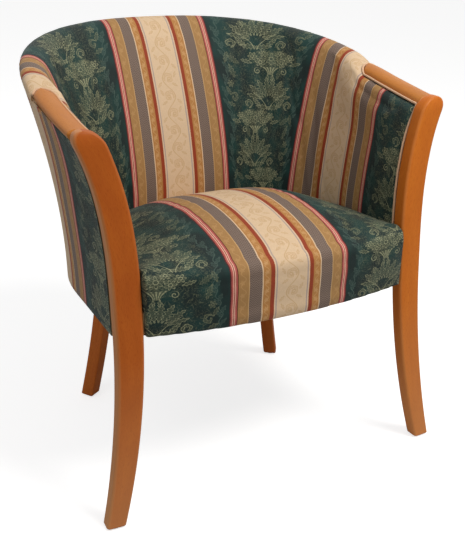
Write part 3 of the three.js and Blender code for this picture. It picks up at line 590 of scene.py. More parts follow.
def most(*values):
    result = values[0]
    for value in values[1:]:
        result = op("MAXIMUM", result, value)
    return result


def noise(vector, detail=2.0, roughness=0.5, distortion=0.0, scale=1.0):
    node = vector.socket.id_data.nodes.new("ShaderNodeTexNoise")
    put_all(node, {"Vector": vector, "Scale": scale, "Detail": detail, "Roughness": roughness,
                   "Distortion": distortion})
    return Field(node.outputs["Fac"])


def combine(x, y, z=0.0):
    node = tree_of(x, y, z).nodes.new("ShaderNodeCombineXYZ")
    for socket, value in zip(node.inputs, (x, y, z)):
        put(socket, value)
    return Field(node.outputs[0])


def separate(vector):
    node = vector.socket.id_data.nodes.new("ShaderNodeSeparateXYZ")
    put(node.inputs[0], vector)
    return [Field(s) for s in node.outputs]


def mix(factor, a, b):
    """A colour between two colours; each is a Field or three numbers."""
    node = tree_of(factor, a, b).nodes.new("ShaderNodeMix")
    node.data_type = "RGBA"
    put(node.inputs[0], factor)
    for socket, value in zip((node.inputs[6], node.inputs[7]), (a, b)):
        put(socket, value if isinstance(value, Field) else (*value, 1.0))
    return Field(node.outputs[2])


def shade(red, green, blue):
    """A colour written as it shows on a screen, 0 to 255, as linear light."""
    values = np.array([red, green, blue]) / 255
    return tuple(np.where(values <= 0.04045, values / 12.92, ((values + 0.055) / 1.055) ** 2.4).tolist())


def ramp(value, stops):
    """Plain stripes of colour over 0 to 1, from pairs of a place and a colour."""
    node = value.socket.id_data.nodes.new("ShaderNodeValToRGB")
    node.color_ramp.interpolation = "CONSTANT"
    elements = node.color_ramp.elements
    while len(elements) < len(stops):
        elements.new(0.5)
    for element, (place, colour) in zip(elements, stops):
        element.position = place
        element.color = (*colour, 1.0)
    put(node.inputs[0], value)
    return Field(node.outputs[0])


def new_material(name):
    material = bpy.data.materials.new(name)
    material.use_nodes = True
    tree = material.node_tree
    return material, tree, tree.nodes["Principled BSDF"]


def bump(shader, height, strength, distance):
    node = height.socket.id_data.nodes.new("ShaderNodeBump")
    put_all(node, {"Strength": strength, "Distance": distance, "Height": height})
    put(shader.inputs["Normal"], Field(node.outputs[0]))


def surface_attribute(tree, name, output):
    node = tree.nodes.new("ShaderNodeAttribute")
    node.attribute_name = name
    return Field(node.outputs[output])


def cloth_coordinates(tree):
    """Across and along the cloth, in millimetres."""
    node = tree.nodes.new("ShaderNodeUVMap")
    node.uv_map = "cloth"
    u, v, _ = separate(Field(node.outputs[0]))
    return u * 1000, v * 1000


# Cloth patterns. Places and sizes are in millimetres on the cloth, and a place is across, then along it.

CREAM = shade(216, 188, 154)
CREAM_GOLD = shade(194, 156, 108)
LILAC = shade(176, 156, 146)
RUST = shade(146, 58, 30)
GOLD = shade(176, 124, 68)
GOLD_LIGHT = shade(206, 164, 112)
TAUPE = shade(102, 84, 74)
TAUPE_LIGHT = shade(148, 130, 116)
TAN = shade(166, 126, 76)
TAN_DARK = shade(140, 100, 56)
ROSE = shade(178, 86, 78)
ROSE_LIGHT = shade(222, 176, 156)
MAROON = shade(84, 28, 26)
GREEN = shade(12, 30, 28)
# colour of the painted sheen on the green ground
PAINTED_SHEEN_GREEN = shade(16, 50, 46)
OLIVE = shade(112, 116, 88)
OLIVE_LIGHT = shade(168, 168, 132)
GREEN_GREY = shade(78, 98, 88)
# Where each colour starts, out from the middle of a group
STRIPES = [
    (0, CREAM), (28, LILAC), (30.5, CREAM), (33, RUST), (40.5, GOLD), (54, CREAM), (56, TAUPE),
    (78.5, CREAM_GOLD), (80, TAN), (98, MAROON), (99.5, ROSE), (102.5, ROSE_LIGHT), (104, RUST),
    (105.5, ROSE_LIGHT), (107, ROSE), (110, MAROON), (112, GREEN),
]
STRIPES_END = 128.0
GREEN_START = 112.6
BAND_MIDDLE = CLOTH_PERIOD * 500  # of the green between two groups
GOLD_MIDDLE, TAUPE_MIDDLE, TAN_MIDDLE = 47.5, 67.2, 89

# The damask. A leaf has a place, an angle, half a length, half a width and its lobes; a flower has a place,
# a radius and its petals; a curl has a place, a radius, a width, the angle where it starts, and a hand.
PALMETTE = [
    (5, 46, 1.42, 19, 6, 6), (15, 43, 1.08, 19, 6.5, 6), (25, 36, 0.66, 19, 6.5, 6),
    (29, 26, 0.24, 17, 5.5, 5), (4, 63, 1.45, 7, 3, 3), (12, 6, 0.15, 15, 6, 5), (24, 14, 0.7, 12, 4.5, 4),
    (44, 93, 0.3, 11, 4.5, 4),
]
BOUQUET = [(0, 100, 12, 8), (19, 93, 9.5, 7), (33, 103, 8.5, 6), (14, 111, 8, 6)]
PALMETTE_CURL = 42, 11, 8, 3.2, 1.6, -1
BOWL = 69, 15, 5, 17
BOWL_SPIRAL = 24, 76, 6.5, 4.6, 0.8, -1, 0.3
SIDE_LEAVES = [
    (47, 96, 0.6, 14, 6, 5), (52, 74, 1.2, 15, 5.5, 5), (62, 100, 1.9, 12, 5, 4), (60, 10, 0.4, 10, 4.5, 3),
    (64, 36, 1.1, 10, 4.5, 4),
]
SIDE_CURL = 52, 24, 8, 3.5, 0.6, 1
SIDE_FLOWER = 58, 50, 7.5, 6
GARLAND_LEAVES = [(-3, 7, 2.1, 8, 4.2, 3), (4, 15, 0.9, 9, 4.2, 3)]
GARLAND_OUT = 83
STEM_FOOT, STEM_SPREAD, STEM_HEIGHT = 2, 34, 36
SPILL_HALF_WIDTH, SPILL_MIDDLE, SPILL_HALF_HEIGHT = 36, 101, 17

# The cream band's scrolls
SCROLL_PITCH = 33.0
SCROLL_SWAY = 11
SCROLL_CURLS = [(2, 17, 9.5, 3.6, 2.6, -1), (3, 16, 3.6, 1.6, 0.4, 1)]
SCROLL_LEAVES = [(17, 24, 1.1, 7, 3.2, 3), (-19, 6, 0.8, 7, 3.2, 3), (14, 5, -0.5, 7, 3, 3)]


def polar(x, y):
    return length(x, y), op("ARCTAN2", y, x)


def spiral(x, y, cx, cy, radius, pitch, line, hand, turn):
    """A curled line round a centre, wound one way or the other."""
    r, angle = polar(x - cx, y - cy)
    winding = r / pitch + angle * (hand / (2 * math.pi)) + turn
    gap = absolute(op("FRACT", winding) - 0.5) * pitch
    return below(gap, line, 1.0) * below(r, radius, 1.2)


def leaf(x, y, cx, cy, angle, long, wide, lobes):
    """A pointed leaf with a lobed light edge, and veins that run out from its middle."""
    ca, sa = math.cos(angle), math.sin(angle)
    p = (x - cx) * ca + (y - cy) * sa
    q = absolute((y - cy) * ca - (x - cx) * sa)
    along = p / long
    outline = (1 - along * along) * wide * (0.75 + 0.25 * sine(along * (lobes * math.pi)))
    edge = within(q - outline + 0.6, 0.55) * within(p, long, 1.0)
    veins = teeth((p - q * 1.4) / 3.8)
    return most(below(q, outline, 0.8) * (0.14 + 0.46 * veins), edge)


def curl(x, y, cx, cy, radius, wide, start, hand):
    """A leaf that winds inwards round a centre, widest in its middle, with a lobed light edge and ribs."""
    r, angle = polar(x - cx, y - cy)
    turn = repeat(angle * hand - start, 2 * math.pi) / (2 * math.pi)
    off = absolute(r - radius * (1 - 0.55 * turn))
    outline = wide * op("SQRT", sine(turn * math.pi)) * (0.8 + 0.2 * sine(turn * 30.0))
    ribs = teeth(turn * 11.0 + off * 0.12)
    return most(below(off, outline, 0.8) * (0.12 + 0.46 * ribs), within(off - outline + 0.5, 0.55))


def flower(x, y, cx, cy, radius, petals):
    """Petals round a centre with light edges."""
    r, angle = polar(x - cx, y - cy)
    outline = radius * (0.45 + 0.55 * absolute(cosine(angle * (petals / 2))))
    edge = within(r - outline + 1.0, 0.8)
    return most(below(r, outline, 0.8) * 0.30, edge, within(r - radius * 0.3, 0.7, 0.6))


def vase(x, y, foot, height, waist, mouth):
    """A ribbed bowl that opens upwards from a narrow foot."""
    part = (y - foot) / height
    half = waist + (mouth - waist) * part * part
    ribs = absolute(cosine(x / half * (2.5 * math.pi)))
    body = below(x, half, 0.8) * within(part - 0.5, 0.5, 0.05)
    return body * (0.25 + 0.75 * ribs)


def damask(across, along):
    """The green band's ornament, mirrored about a middle that steps aside from one motif to the next: a fan
    of leaves on thin stems, a ribbed bowl above it, flowers that spill out of it, and leaves beside it. The
    second result is a garland along each edge of the band."""
    half = DAMASK_REPEAT * 500
    way = repeat(op("FLOOR", along / half), 2.0) * 2 - 1
    y = repeat(along, half)
    x = absolute(across - way * DAMASK_STEP) / DAMASK_WIDEN
    far = absolute(across + way * DAMASK_STEP)
    spread = STEM_FOOT + STEM_SPREAD * (most(y, 0.0) / STEM_HEIGHT) ** 1.7
    stem = within(x - spread, 0.75) * below(y, STEM_HEIGHT, 1.5)
    petals = 0.5 + 0.5 * sine(x * 0.9 + 2.2 * sine(y * 0.22)) * sine(y * 0.8 + 1.8 * sine(x * 0.25))
    spill = below(length(x / SPILL_HALF_WIDTH, (y - SPILL_MIDDLE) / SPILL_HALF_HEIGHT), 1.0, 0.12)
    motif = most(
        *[leaf(x, y, *row) for row in PALMETTE],
        *[flower(x, y, *row) for row in BOUQUET],
        curl(x, y, *PALMETTE_CURL),
        stem,
        vase(x, y, *BOWL),
        spiral(x, y, *BOWL_SPIRAL),
        spill * above(petals, 0.42, 0.5) * 0.6,
    )
    beside = most(
        *[leaf(far, y, *row) for row in SIDE_LEAVES],
        curl(far, y, *SIDE_CURL),
        flower(far, y, *SIDE_FLOWER),
    )
    out = absolute(across) - GARLAND_OUT - 6 * wave(along, half)
    step = repeat(along, half / 5)
    garland = most(
        *[leaf(out, step, *row) for row in GARLAND_LEAVES],
        within(out - 3 * wave(along, half / 5), 0.8, 0.8),
    )
    return most(motif, beside * 0.8), garland


def small_scrolls(across, along):
    """The cream band's tone-on-tone stem that winds from side to side, with curls and leaves in its bends."""
    cell = repeat(along, SCROLL_PITCH)
    x = across * (repeat(op("FLOOR", along / SCROLL_PITCH), 2.0) * 2 - 1)
    return most(
        within(x + SCROLL_SWAY * wave(cell, SCROLL_PITCH * 2), 1.0, 0.9),
        *[curl(x, cell, *row) for row in SCROLL_CURLS],
        *[leaf(x, cell, *row) for row in SCROLL_LEAVES],
    )


def sprigs(across, along, pitch, shift, sway, half):
    """Small flowers on a stem that winds along a stripe, shift off its middle."""
    blossom = flower(across, repeat(along, pitch), shift, pitch / 2, 4.6, 5)
    stem = within(across - sway * wave(along, pitch), 0.7)
    return most(blossom, stem) * within(across, half, 0.6)


def woven_green(band, v):
    """Colour of the green band, and where its ornament lies. The ground's noise is mirrored too."""
    ornament, garland = damask(band, v)
    fold = absolute(band)
    breakup = noise(combine(fold * 0.30, v * 0.30), 3.0, 0.6)
    filigree = within(noise(combine(fold * 0.13, v * 0.13), 1.0, 0.5, 1.4) - 0.5, 0.022, 0.02)
    # painted sheen: broad noise patches of lighter teal over the dark green ground
    sheen_ground = mix(above(noise(combine(fold * 0.03, v * 0.02), 1.0), 0.5, 0.25), GREEN, PAINTED_SHEEN_GREEN)
    mask = most(ornament * (0.20 + breakup * 1.2), filigree * 0.42 * below(fold, 76.0, 8.0))
    sheen_ground = mix(garland * (0.15 + breakup * 0.9), sheen_ground, GREEN_GREY)
    green = mix(mask, sheen_ground, OLIVE)
    return mix(above(mask, 0.72, 0.30) * 0.75, green, OLIVE_LIGHT), mask


def striped_cloth():
    material, tree, shader = new_material("striped_damask")
    u, v = cloth_coordinates(tree)
    thread = noise(combine(u * 0.9, v * 0.16))
    slub = noise(combine(u * 0.12, v * 1.3))
    period = CLOTH_PERIOD * 1000
    centred = repeat(u + period / 2, period) - period / 2
    distance = absolute(centred)
    edge = distance + (noise(combine(u * 2.1, v * 2.1), 1.0) - 0.5) * 0.7
    base = ramp(edge / STRIPES_END, [(place / STRIPES_END, colour) for place, colour in STRIPES])
    green, mask = woven_green(repeat(u, period) - BAND_MIDDLE, v)
    in_green = above(edge, GREEN_START, 0.8)
    colour = mix(in_green, base, green)

    scrolls = small_scrolls(centred, v) * below(distance, 26.5, 0.8)
    colour = mix(scrolls * 0.7, colour, CREAM_GOLD)
    colour = mix(sprigs(distance - GOLD_MIDDLE, v, 17.0, 0.0, 3.2, 6.2) * 0.6, colour, GOLD_LIGHT)

    zigzag = absolute(repeat(distance, 9.0) - 4.5)
    diagonal = wave(v + zigzag * 1.1, 4.2) * (0.7 + 0.3 * wave(v, 2.1))
    dots = above(diagonal, 0.15, 0.4) * within(distance - TAUPE_MIDDLE, 11.0, 0.6)
    colour = mix(dots * 0.6, colour, TAUPE_LIGHT)

    tan_x = distance - TAN_MIDDLE
    colour = mix(sprigs(tan_x, v, 23.0, 2.0, 4.2, 7.6) * 0.40, colour, GOLD_LIGHT)
    tan_lines = above(wave(v, 2.2), 0.15, 0.6) * within(tan_x, 8.4, 0.6)
    colour = mix(tan_lines * 0.25, colour, TAN_DARK)

    hue = tree.nodes.new("ShaderNodeHueSaturation")
    put_all(hue, {"Color": colour, "Value": 0.80 + thread * 0.22 + slub * 0.16})
    put_all(shader, {
        "Base Color": Field(hue.outputs[0]),
        "Roughness": 0.68 - mask * in_green * 0.16 - thread * 0.08,
        "Sheen Weight": 0.08,
        "Sheen Roughness": 0.45,
        "Specular IOR Level": 0.22,
    })
    weave = wave(u, 0.95) * wave(v, 0.95)
    bump(shader, weave * 0.35 + thread * 0.5, 0.35, 0.0006)
    return material


def piping_cloth():
    material, tree, shader = new_material("piping_cloth")
    u, v = cloth_coordinates(tree)
    twill = wave(u * 2 + v, 1.6)
    thread = noise(combine(u * 1.2, v * 0.7))
    colour = mix(thread, shade(204, 160, 122), shade(238, 202, 166))
    colour = mix(above(twill, 0.2, 0.8) * 0.35, colour, shade(170, 122, 86))
    put_all(shader, {"Base Color": colour, "Roughness": 0.72 - thread * 0.1, "Sheen Weight": 0.15})
    bump(shader, twill * 0.5 + thread * 0.5, 0.4, 0.0004)
    return material


# Wood and the finishes of hidden pieces, in metres

# Colour of painted light on the front legs: painted light from the floor towards the foot, and a painted
# highlight along the edges
PAINTED_LIGHT_TONE = shade(208, 152, 100)
LEG_GRAIN, CAP_GRAIN, REAR_LEG_GRAIN = 1, 3, 5


def show_wood(name, light, middle, dark, specular, base=None):
    """Stained and lacquered beech: fine flecks and slow bands along the grain. A front leg is paler towards
    its foot, where its grain's length is base, as painted light from the floor, and on its edges as a painted
    highlight."""
    material, tree, shader = new_material(name)
    light, middle, dark = [shade(*colour) for colour in (light, middle, dark)]
    x, y, z = separate(surface_attribute(tree, "grain", "Vector"))
    slow = noise(combine(x * 26, y * 26, z * 6.5), 4.0, 0.6, 0.8)
    fine = noise(combine(x * 160, y * 160, z * 9), 3.0, 0.6)
    fleck = noise(combine(x * 900, y * 900, z * 130), 1.0)
    rings = absolute(sine((x * 55 + y * 18 + slow * 7) * math.pi))
    colour = mix(slow, dark, light)
    colour = mix(rings * 0.45, colour, middle)
    colour = mix(above(fleck, 0.60, 0.08) * 0.40, colour, dark)
    colour = mix(fine * 0.35, colour, middle)
    if base is not None:
        # painted light from the floor: paler towards the foot
        colour = mix(below(z - base, 0.14, 0.34) * 0.46, colour, PAINTED_LIGHT_TONE)
        # painted highlight along the leg's edges, where the edge attribute is high
        colour = mix(surface_attribute(tree, "edge", "Fac") * (0.20 + fine * 0.70), colour, PAINTED_LIGHT_TONE)
    put_all(shader, {"Base Color": colour, "Roughness": 0.36 + fine * 0.12, "Specular IOR Level": specular})
    bump(shader, fine * 0.6 + fleck * 0.4, 0.08, 0.0005)
    return material


def plain_finish(name, light, dark, scale, roughness, metallic=0.0, along=1):
    """A finish for hidden and small pieces, by the frame's coordinates; along stretches its spots."""
    material, tree, shader = new_material(name)
    x, y, z = separate(Field(tree.nodes.new("ShaderNodeTexCoord").outputs["Object"]))
    spots = noise(combine(x, y, z * along), 4.0, 0.6, scale=scale)
    put_all(shader, {
        "Base Color": mix(spots, shade(*dark), shade(*light)),
        "Roughness": roughness - 0.12 + spots * 0.24,
        "Metallic": metallic,
    })
    bump(shader, spots, 0.2, 0.0008)
    return material


CLOTH = striped_cloth()
PIPING = piping_cloth()
# The front legs are lit and shaded copies of one beech: the right leg's lighter colours are painted light,
# the left leg's darker colours painted shade
LEG_WOODS = {
    -1: show_wood("beech_left_painted_shade", (200, 110, 34), (172, 84, 24), (144, 62, 14), 0.14, -LEG_GRAIN),
    1: show_wood("beech_right_painted_light", (222, 132, 42), (196, 104, 32), (168, 80, 20), 0.14, LEG_GRAIN),
}
REAR_LEG_WOOD = show_wood("beech_rear", (220, 126, 50), (188, 96, 38), (156, 72, 24), 0.14)
CAP_WOOD = show_wood("beech_cap", (206, 138, 56), (184, 112, 42), (160, 88, 30), 0.22)
FINISHES = {
    "frame_wood": plain_finish("raw_beech", (214, 184, 138), (176, 140, 96), 30, 0.75, along=0.2),
    "foam": plain_finish("foam", (232, 222, 190), (208, 196, 160), 260, 0.95),
    "board": plain_finish("fibreboard", (156, 124, 84), (120, 92, 60), 320, 0.9),
    "steel": plain_finish("spring_steel", (150, 152, 156), (104, 104, 108), 90, 0.4, 1.0),
    "lining_cloth": plain_finish("lining_cloth", (34, 34, 36), (18, 18, 20), 420, 0.9),
    "glide_plastic": plain_finish("nylon", (44, 42, 40), (24, 22, 22), 200, 0.55),
}


# Wooden pieces. The grain of left and right pieces is read this far apart, so that no two look alike.

def finish_piece(obj, slot, *nodes):
    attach(obj, "root")
    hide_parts(*nodes)
    return obj


def front_leg(name, side):
    """A leg that leans back, flares at its foot and head, and ends in a rounded head."""
    rings, grain = [], []

    def add(z, width_scale=1, depth_scale=1):
        width, depth = leg_width(z) * width_scale, LEG_DEPTH * depth_scale
        section = rounded_section(width, depth, min(LEG_EDGE, depth * MOST_ROUND, width * MOST_ROUND))
        sx, sy = section[:, 0], section[:, 1]
        x = side * (leg_centre(z) + sx * math.cos(LEG_TOE) - sy * math.sin(LEG_TOE))
        y = lean(z) + LEG_DEPTH / 2 + sx * math.sin(LEG_TOE) + sy * math.cos(LEG_TOE)
        rings.append(stacked(x, y, z))
        grain.append(stacked(sx * side, sy, z + LEG_GRAIN * side))

    add(GLIDE_TOP, *FOOT_SCALES)
    add(GLIDE_TOP + FOOT_BEVEL)
    for z in np.linspace(GLIDE_TOP + SHAFT_START, HEAD_TOP - HEAD_ROUND, 96):
        add(z)
    for angle in np.linspace(0, math.pi / 2 * HEAD_END_SHARE, 22)[1:]:
        nose = 1 - HEAD_NOSE_SHARE * (1 - math.cos(angle))
        add(HEAD_TOP - HEAD_ROUND * (1 - math.sin(angle)), math.cos(angle) ** HEAD_POWER, nose)
    obj = loft(name, rings, LEG_WOODS[side], grain=grain)
    # The edge attribute: a painted highlight along the leg's outer edges, weaker on its inner edges
    turn = np.linspace(0, math.pi / 2, CORNER_POINTS)
    inner = INNER_EDGE_HIGHLIGHT * np.sin(2 * turn)
    edge_highlight = np.concatenate([np.cos(turn), inner, inner, np.sin(turn)])
    attribute = obj.data.attributes.new("edge", "FLOAT", "POINT")
    attribute.data.foreach_set("value", np.append(np.tile(edge_highlight, len(rings)), [0, 0]))
    return finish_piece(obj, "show_wood", name)


def cap_section(across, share):
    """Outline of an arm cap: a flat underside with soft edges, and a crowned top."""
    low, high = cap_under(share), cap_top(share)
    edge = min(CAP_EDGE, across * 0.5)
    crown = (high - low) * CAP_TOP_ROUND_SHARE
    top = [(-across * math.cos(t), high - crown + crown * math.sin(t) ** CAP_CROWN_POWER)
           for t in np.linspace(0, math.pi, 25)]
    corner = [(across - edge, low), (across - edge * 0.3, low + edge * 0.3), (across, low + edge)]
    return np.array([(-x, z) for x, z in corner] + top + corner[::-1])


def cap_stations(grow=0.0, end_steps=18):
    """Places along a cap and its half width there; the rear end is round in plan."""
    half = CAP_WIDTH / 2
    straight = [(at, half + grow) for at in np.linspace(0, CAP_LENGTH - half, 40)]
    angles = np.linspace(0, math.pi / 2 * CAP_END_FULLNESS, end_steps)[1:]
    round_end = [(CAP_LENGTH - half + (half + grow) * math.sin(t), (half + grow) * math.cos(t))
                 for t in angles]
    return straight + round_end


def arm_cap(name, side):
    rings, grain = [], []
    for at, across in cap_stations():
        share = at / WALL_LENGTH
        x, z = cap_section(across, share).T
        rings.append(wall_points(side, share, z, cap_middle(share) + x))
        grain.append(stacked(x, z, at + CAP_GRAIN * side))
    return finish_piece(loft(name, rings, CAP_WOOD, grain=grain), "show_wood", name)


def rear_leg_frame(side):
    """Top of a rear leg, and the directions out of and along the rail there."""
    step = REAR_LEG_SIZE / 2 / WALL_LENGTH
    ahead, behind = [wall_points(side, REAR_LEG_SHARE + s, SEAT_BOTTOM, FRAME_IN) for s in (-step, step)]
    tangent = (behind - ahead) / np.linalg.norm(behind - ahead)
    normal = side * np.cross(tangent, [0, 0, 1])
    return (ahead + behind) / 2 - normal * (REAR_LEG_SIZE / 2 + 2 * CLEARANCE), normal, tangent


def rear_leg(name, side):
    top, normal, tangent = rear_leg_frame(side)
    foot = GLIDE_TOP + REAR_FOOT_BEVEL
    rings, grain = [], []
    for z in [GLIDE_TOP, *np.linspace(foot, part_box(name)[1].z, 70)]:
        drop = max(0.0, 1 - z / SEAT_BOTTOM) ** REAR_LEG_POWER
        size = REAR_LEG_SIZE * (REAR_FOOT_SCALE if z < foot else 1)
        section = rounded_section(size, size, REAR_LEG_EDGE)
        middle = np.array([top[0] + side * REAR_LEG_SPLAY * drop, top[1] + REAR_LEG_RAKE * drop, z])
        rings.append(middle + section[:, :1] * normal + section[:, 1:] * tangent)
        grain.append(stacked(section[:, 0], section[:, 1], z + REAR_LEG_GRAIN * side))
    return finish_piece(loft(name, rings, REAR_LEG_WOOD, grain=grain), "show_wood", name)


# Where the stripes lie

def wall_lengths(z, depth, shares):
    """Distance along the wall from the middle of the back, at each height, for a row of shares."""
    x, y = plan(shares[:, None], z[None, :], depth)
    steps = np.hypot(np.diff(x, axis=0), np.diff(y, axis=0))
    return np.concatenate([np.cumsum(steps[::-1], axis=0)[::-1], np.zeros((1, len(z)))])


SHARE_TABLE = np.linspace(0, 1, 241)
HEIGHT_TABLE = np.linspace(SEAT_BOTTOM, RIM_MIDDLE, 60)
LENGTH_TABLES = {depth: wall_lengths(HEIGHT_TABLE, depth, SHARE_TABLE) for depth in (0.0, WALL)}


def wall_length_at(share, z, depth):
    table = LENGTH_TABLES[depth]
    i = np.clip(np.asarray(share, float), 0, 1) * (len(SHARE_TABLE) - 1)
    j = np.clip((z - SEAT_BOTTOM) / (RIM_MIDDLE - SEAT_BOTTOM), 0, 1) * (len(HEIGHT_TABLE) - 1)
    i0 = np.minimum(i.astype(int), len(SHARE_TABLE) - 2)
    j0 = np.minimum(j.astype(int), len(HEIGHT_TABLE) - 2)
    a, b = i - i0, j - j0
    near = lerp(table[i0, j0], table[i0 + 1, j0], a)
    far = lerp(table[i0, j0 + 1], table[i0 + 1, j0 + 1], a)
    return lerp(near, far, b)


def across_cloth(share, z, depth, group_share):
    """Place across the cloth: one stripe group on the back's middle, the next where group_share says."""
    u = wall_length_at(share, z, depth)
    group = wall_length_at(group_share, z, depth)
    between = lerp(GROUP_HALF, CLOTH_PERIOD - GROUP_HALF, (u - GROUP_HALF) / (group - 2 * GROUP_HALF))
    beyond = CLOTH_PERIOD + u - group
    return np.where(u < GROUP_HALF, u, np.where(u < group - GROUP_HALF, between, beyond))


# Wall padding

def swelling(share, z):
    """How far the padding beside an arm cap swells past the wall's inner face."""
    at = share * WALL_LENGTH
    most_at = cap_under(share) + SEAM_RISE - SHOULDER
    run_out = smooth_step(at, CAP_LENGTH - SWELL_AHEAD, CAP_LENGTH + SWELL_RUN_OUT)
    size = lerp(SWELL_FRONT, SWELL_REAR, along_cap(share)) * (1 - run_out)
    return size * smooth_step(z, SWELL_LOW, most_at)


def rolled_line(share, depth, face_steps=26, roll_steps=14, flap_steps=4):
    """Depth and height of the inner cover at a share: up its face, over the rim and down outside.
    Under an arm cap it turns outwards at the cap's inner edge instead."""
    at = share * WALL_LENGTH
    angles = np.linspace(0, math.pi, roll_steps + 1)[1:]
    first, second = np.minimum(angles, math.pi / 2), np.maximum(angles - math.pi / 2, 0)
    middle = WALL / 2

    def line(low, roll, drop_from, roll_depths, inwards):
        face = np.linspace(LINER_LOW, low, face_steps)
        flap = drop_from - np.linspace(0, ROLL_DROP, flap_steps + 1)[1:]
        heights = np.concatenate([face, roll, flap])
        depths = np.concatenate([np.full(face_steps, depth), roll_depths, np.full(flap_steps, WALL - depth)])
        inwards = np.concatenate([np.ones(face_steps), inwards, np.zeros(flap_steps)])
        return depths - inwards * swelling(share, heights), heights

    low = roll_low(share)
    top = rim_top(share) - RIM_DIP * (1 - smooth_step(at, CAP_LENGTH, CAP_LENGTH + RIM_DIP_LENGTH))
    rim = line(low, low + (top - low - depth) * np.sin(angles), low,
               middle - (middle - depth) * np.cos(angles), np.maximum(np.cos(angles), 0))
    seam_z = cap_under(share) + SEAM_RISE - depth
    seam_depth = cap_middle(share) - CAP_WIDTH / 2 + SEAM_IN + depth / 2
    shoulder = lerp(depth, seam_depth, 1 - np.cos(first))
    outwards = lerp(shoulder, WALL - depth, second / (math.pi / 2))
    low = seam_z - SHOULDER
    under = line(low, low + SHOULDER * np.sin(first), seam_z, outwards, np.cos(first))
    blend = smooth_step(at, CAP_LENGTH - CAP_WIDTH / 2 - RIM_AHEAD, CAP_LENGTH + RIM_BEHIND)
    return lerp(under[0], rim[0], blend), lerp(under[1], rim[1], blend)


def wall_shares():
    """Shares round the whole wall as (side, share), from the left leg to the right one."""
    half = np.linspace(WALL_START_SHARE, 1, WALL_COLUMNS)
    return [(-1, s) for s in half] + [(1, s) for s in half[-2::-1]]


def wall_grid(depth):
    """Rows of points round the wall, with cloth coordinates."""
    rows, uvs = [], []
    for side, share in wall_shares():
        depths, heights = rolled_line(share, depth)
        rows.append(wall_points(side, share, heights, depths))
        along = LINER_LOW + run_along(depths, heights)
        across = across_cloth(share, np.minimum(heights, along), 0.0, SIDE_GROUP_SHARE)
        uvs.append(stacked(side * across, along))
    return np.array(rows), np.array(uvs)


def solid_between(name, outer, inner):
    """A closed mesh between two grids of the same size."""
    rows, columns = outer.shape[:2]
    points = np.concatenate([outer.reshape(-1, 3), inner.reshape(-1, 3)])
    count = rows * columns
    faces = grid_faces(rows, columns) + [f[::-1] for f in grid_faces(rows, columns, start=count)]
    border = [i * columns for i in range(rows)]
    border += [(rows - 1) * columns + j for j in range(1, columns)]
    border += [i * columns + columns - 1 for i in range(rows - 2, -1, -1)]
    border += list(range(columns - 2, 0, -1))
    for a, b in zip(border, border[1:] + border[:1]):
        faces.append([a, b, b + count, a + count])
    obj = new_mesh(name, points, faces)
    face_outwards(obj)
    return obj


def reference_tree(points, uv):
    rows, columns = points.shape[:2]
    flat = to_frame(points.reshape(-1, 3))
    faces = grid_faces(rows, columns)
    triangles = [t for a, b, c, d in faces for t in ((a, b, c), (a, c, d))]
    return BVHTree.FromPolygons(flat.tolist(), triangles), flat, np.array(triangles), uv.reshape(-1, 2)


def cloth_places(obj, reference):
    """Cloth coordinates of each vertex from the nearest point of the reference, and its distance."""
    tree, flat, triangles, uv = reference
    found = [tree.find_nearest(v.co) for v in obj.data.vertices]
    places = np.array([f[0] for f in found])
    index = np.array([f[2] for f in found])
    distance = np.array([f[3] for f in found])
    a, b, c = (flat[triangles[index, k]] for k in range(3))
    total = np.linalg.norm(np.cross(b - a, c - a), axis=1)
    wa = np.linalg.norm(np.cross(b - places, c - places), axis=1) / total
    wb = np.linalg.norm(np.cross(c - places, a - places), axis=1) / total
    wc = 1 - wa - wb
    ua, ub, uc = (uv[triangles[index, k]] for k in range(3))
    return wa[:, None] * ua + wb[:, None] * ub + wc[:, None] * uc, distance


def vertex_array(obj):
    values = np.zeros(len(obj.data.vertices) * 3)
    obj.data.vertices.foreach_get("co", values)
    return values.reshape(-1, 3)


def puff(obj, held):
    """Blows the cloth of a padded piece up a little, outwards only; held is 1 where it's fixed."""
    group = obj.vertex_groups.new(name="held")
    for i, weight in enumerate(held):
        if weight > 0:
            group.add([i], float(weight), "REPLACE")
    start = vertex_array(obj)
    outwards = np.zeros(start.size)
    obj.data.vertices.foreach_get("normal", outwards)
    outwards = outwards.reshape(-1, 3)
    modifier = obj.modifiers.new("cloth", "CLOTH")
    assign(modifier.settings, quality=5, use_pressure=True, uniform_pressure_force=PRESSURE,
           tension_stiffness=20, compression_stiffness=20, shear_stiffness=8, bending_stiffness=2,
           vertex_group_mass="held")
    modifier.settings.effector_weights.gravity = 0
    assign(modifier.point_cache, frame_start=1, frame_end=PUFF_FRAMES)
    for step in range(1, PUFF_FRAMES + 1):
        bpy.context.scene.frame_set(step)
    apply_modifiers(obj)
    bpy.context.scene.frame_set(1)
    moved = vertex_array(obj) - start
    moved -= outwards * np.minimum((moved * outwards).sum(axis=1, keepdims=True), 0)
    far = np.linalg.norm(moved, axis=1, keepdims=True)
    eased = PUFF_MOST * np.tanh(far / PUFF_MOST)
    moved *= np.where(far > 0, eased / np.maximum(far, 1e-9), 0)
    obj.data.vertices.foreach_set("co", (start + moved).ravel())
    obj.data.update()
    obj.vertex_groups.clear()


def dress(obj, reference, material):
    """Gives a remeshed piece its cloth coordinates, its material and smooth shading."""
    uv, _ = cloth_places(obj, reference)
    set_uv(obj.data, uv)
    paint(obj, material)
    obj.data.polygons.foreach_set("use_smooth", [True] * len(obj.data.polygons))


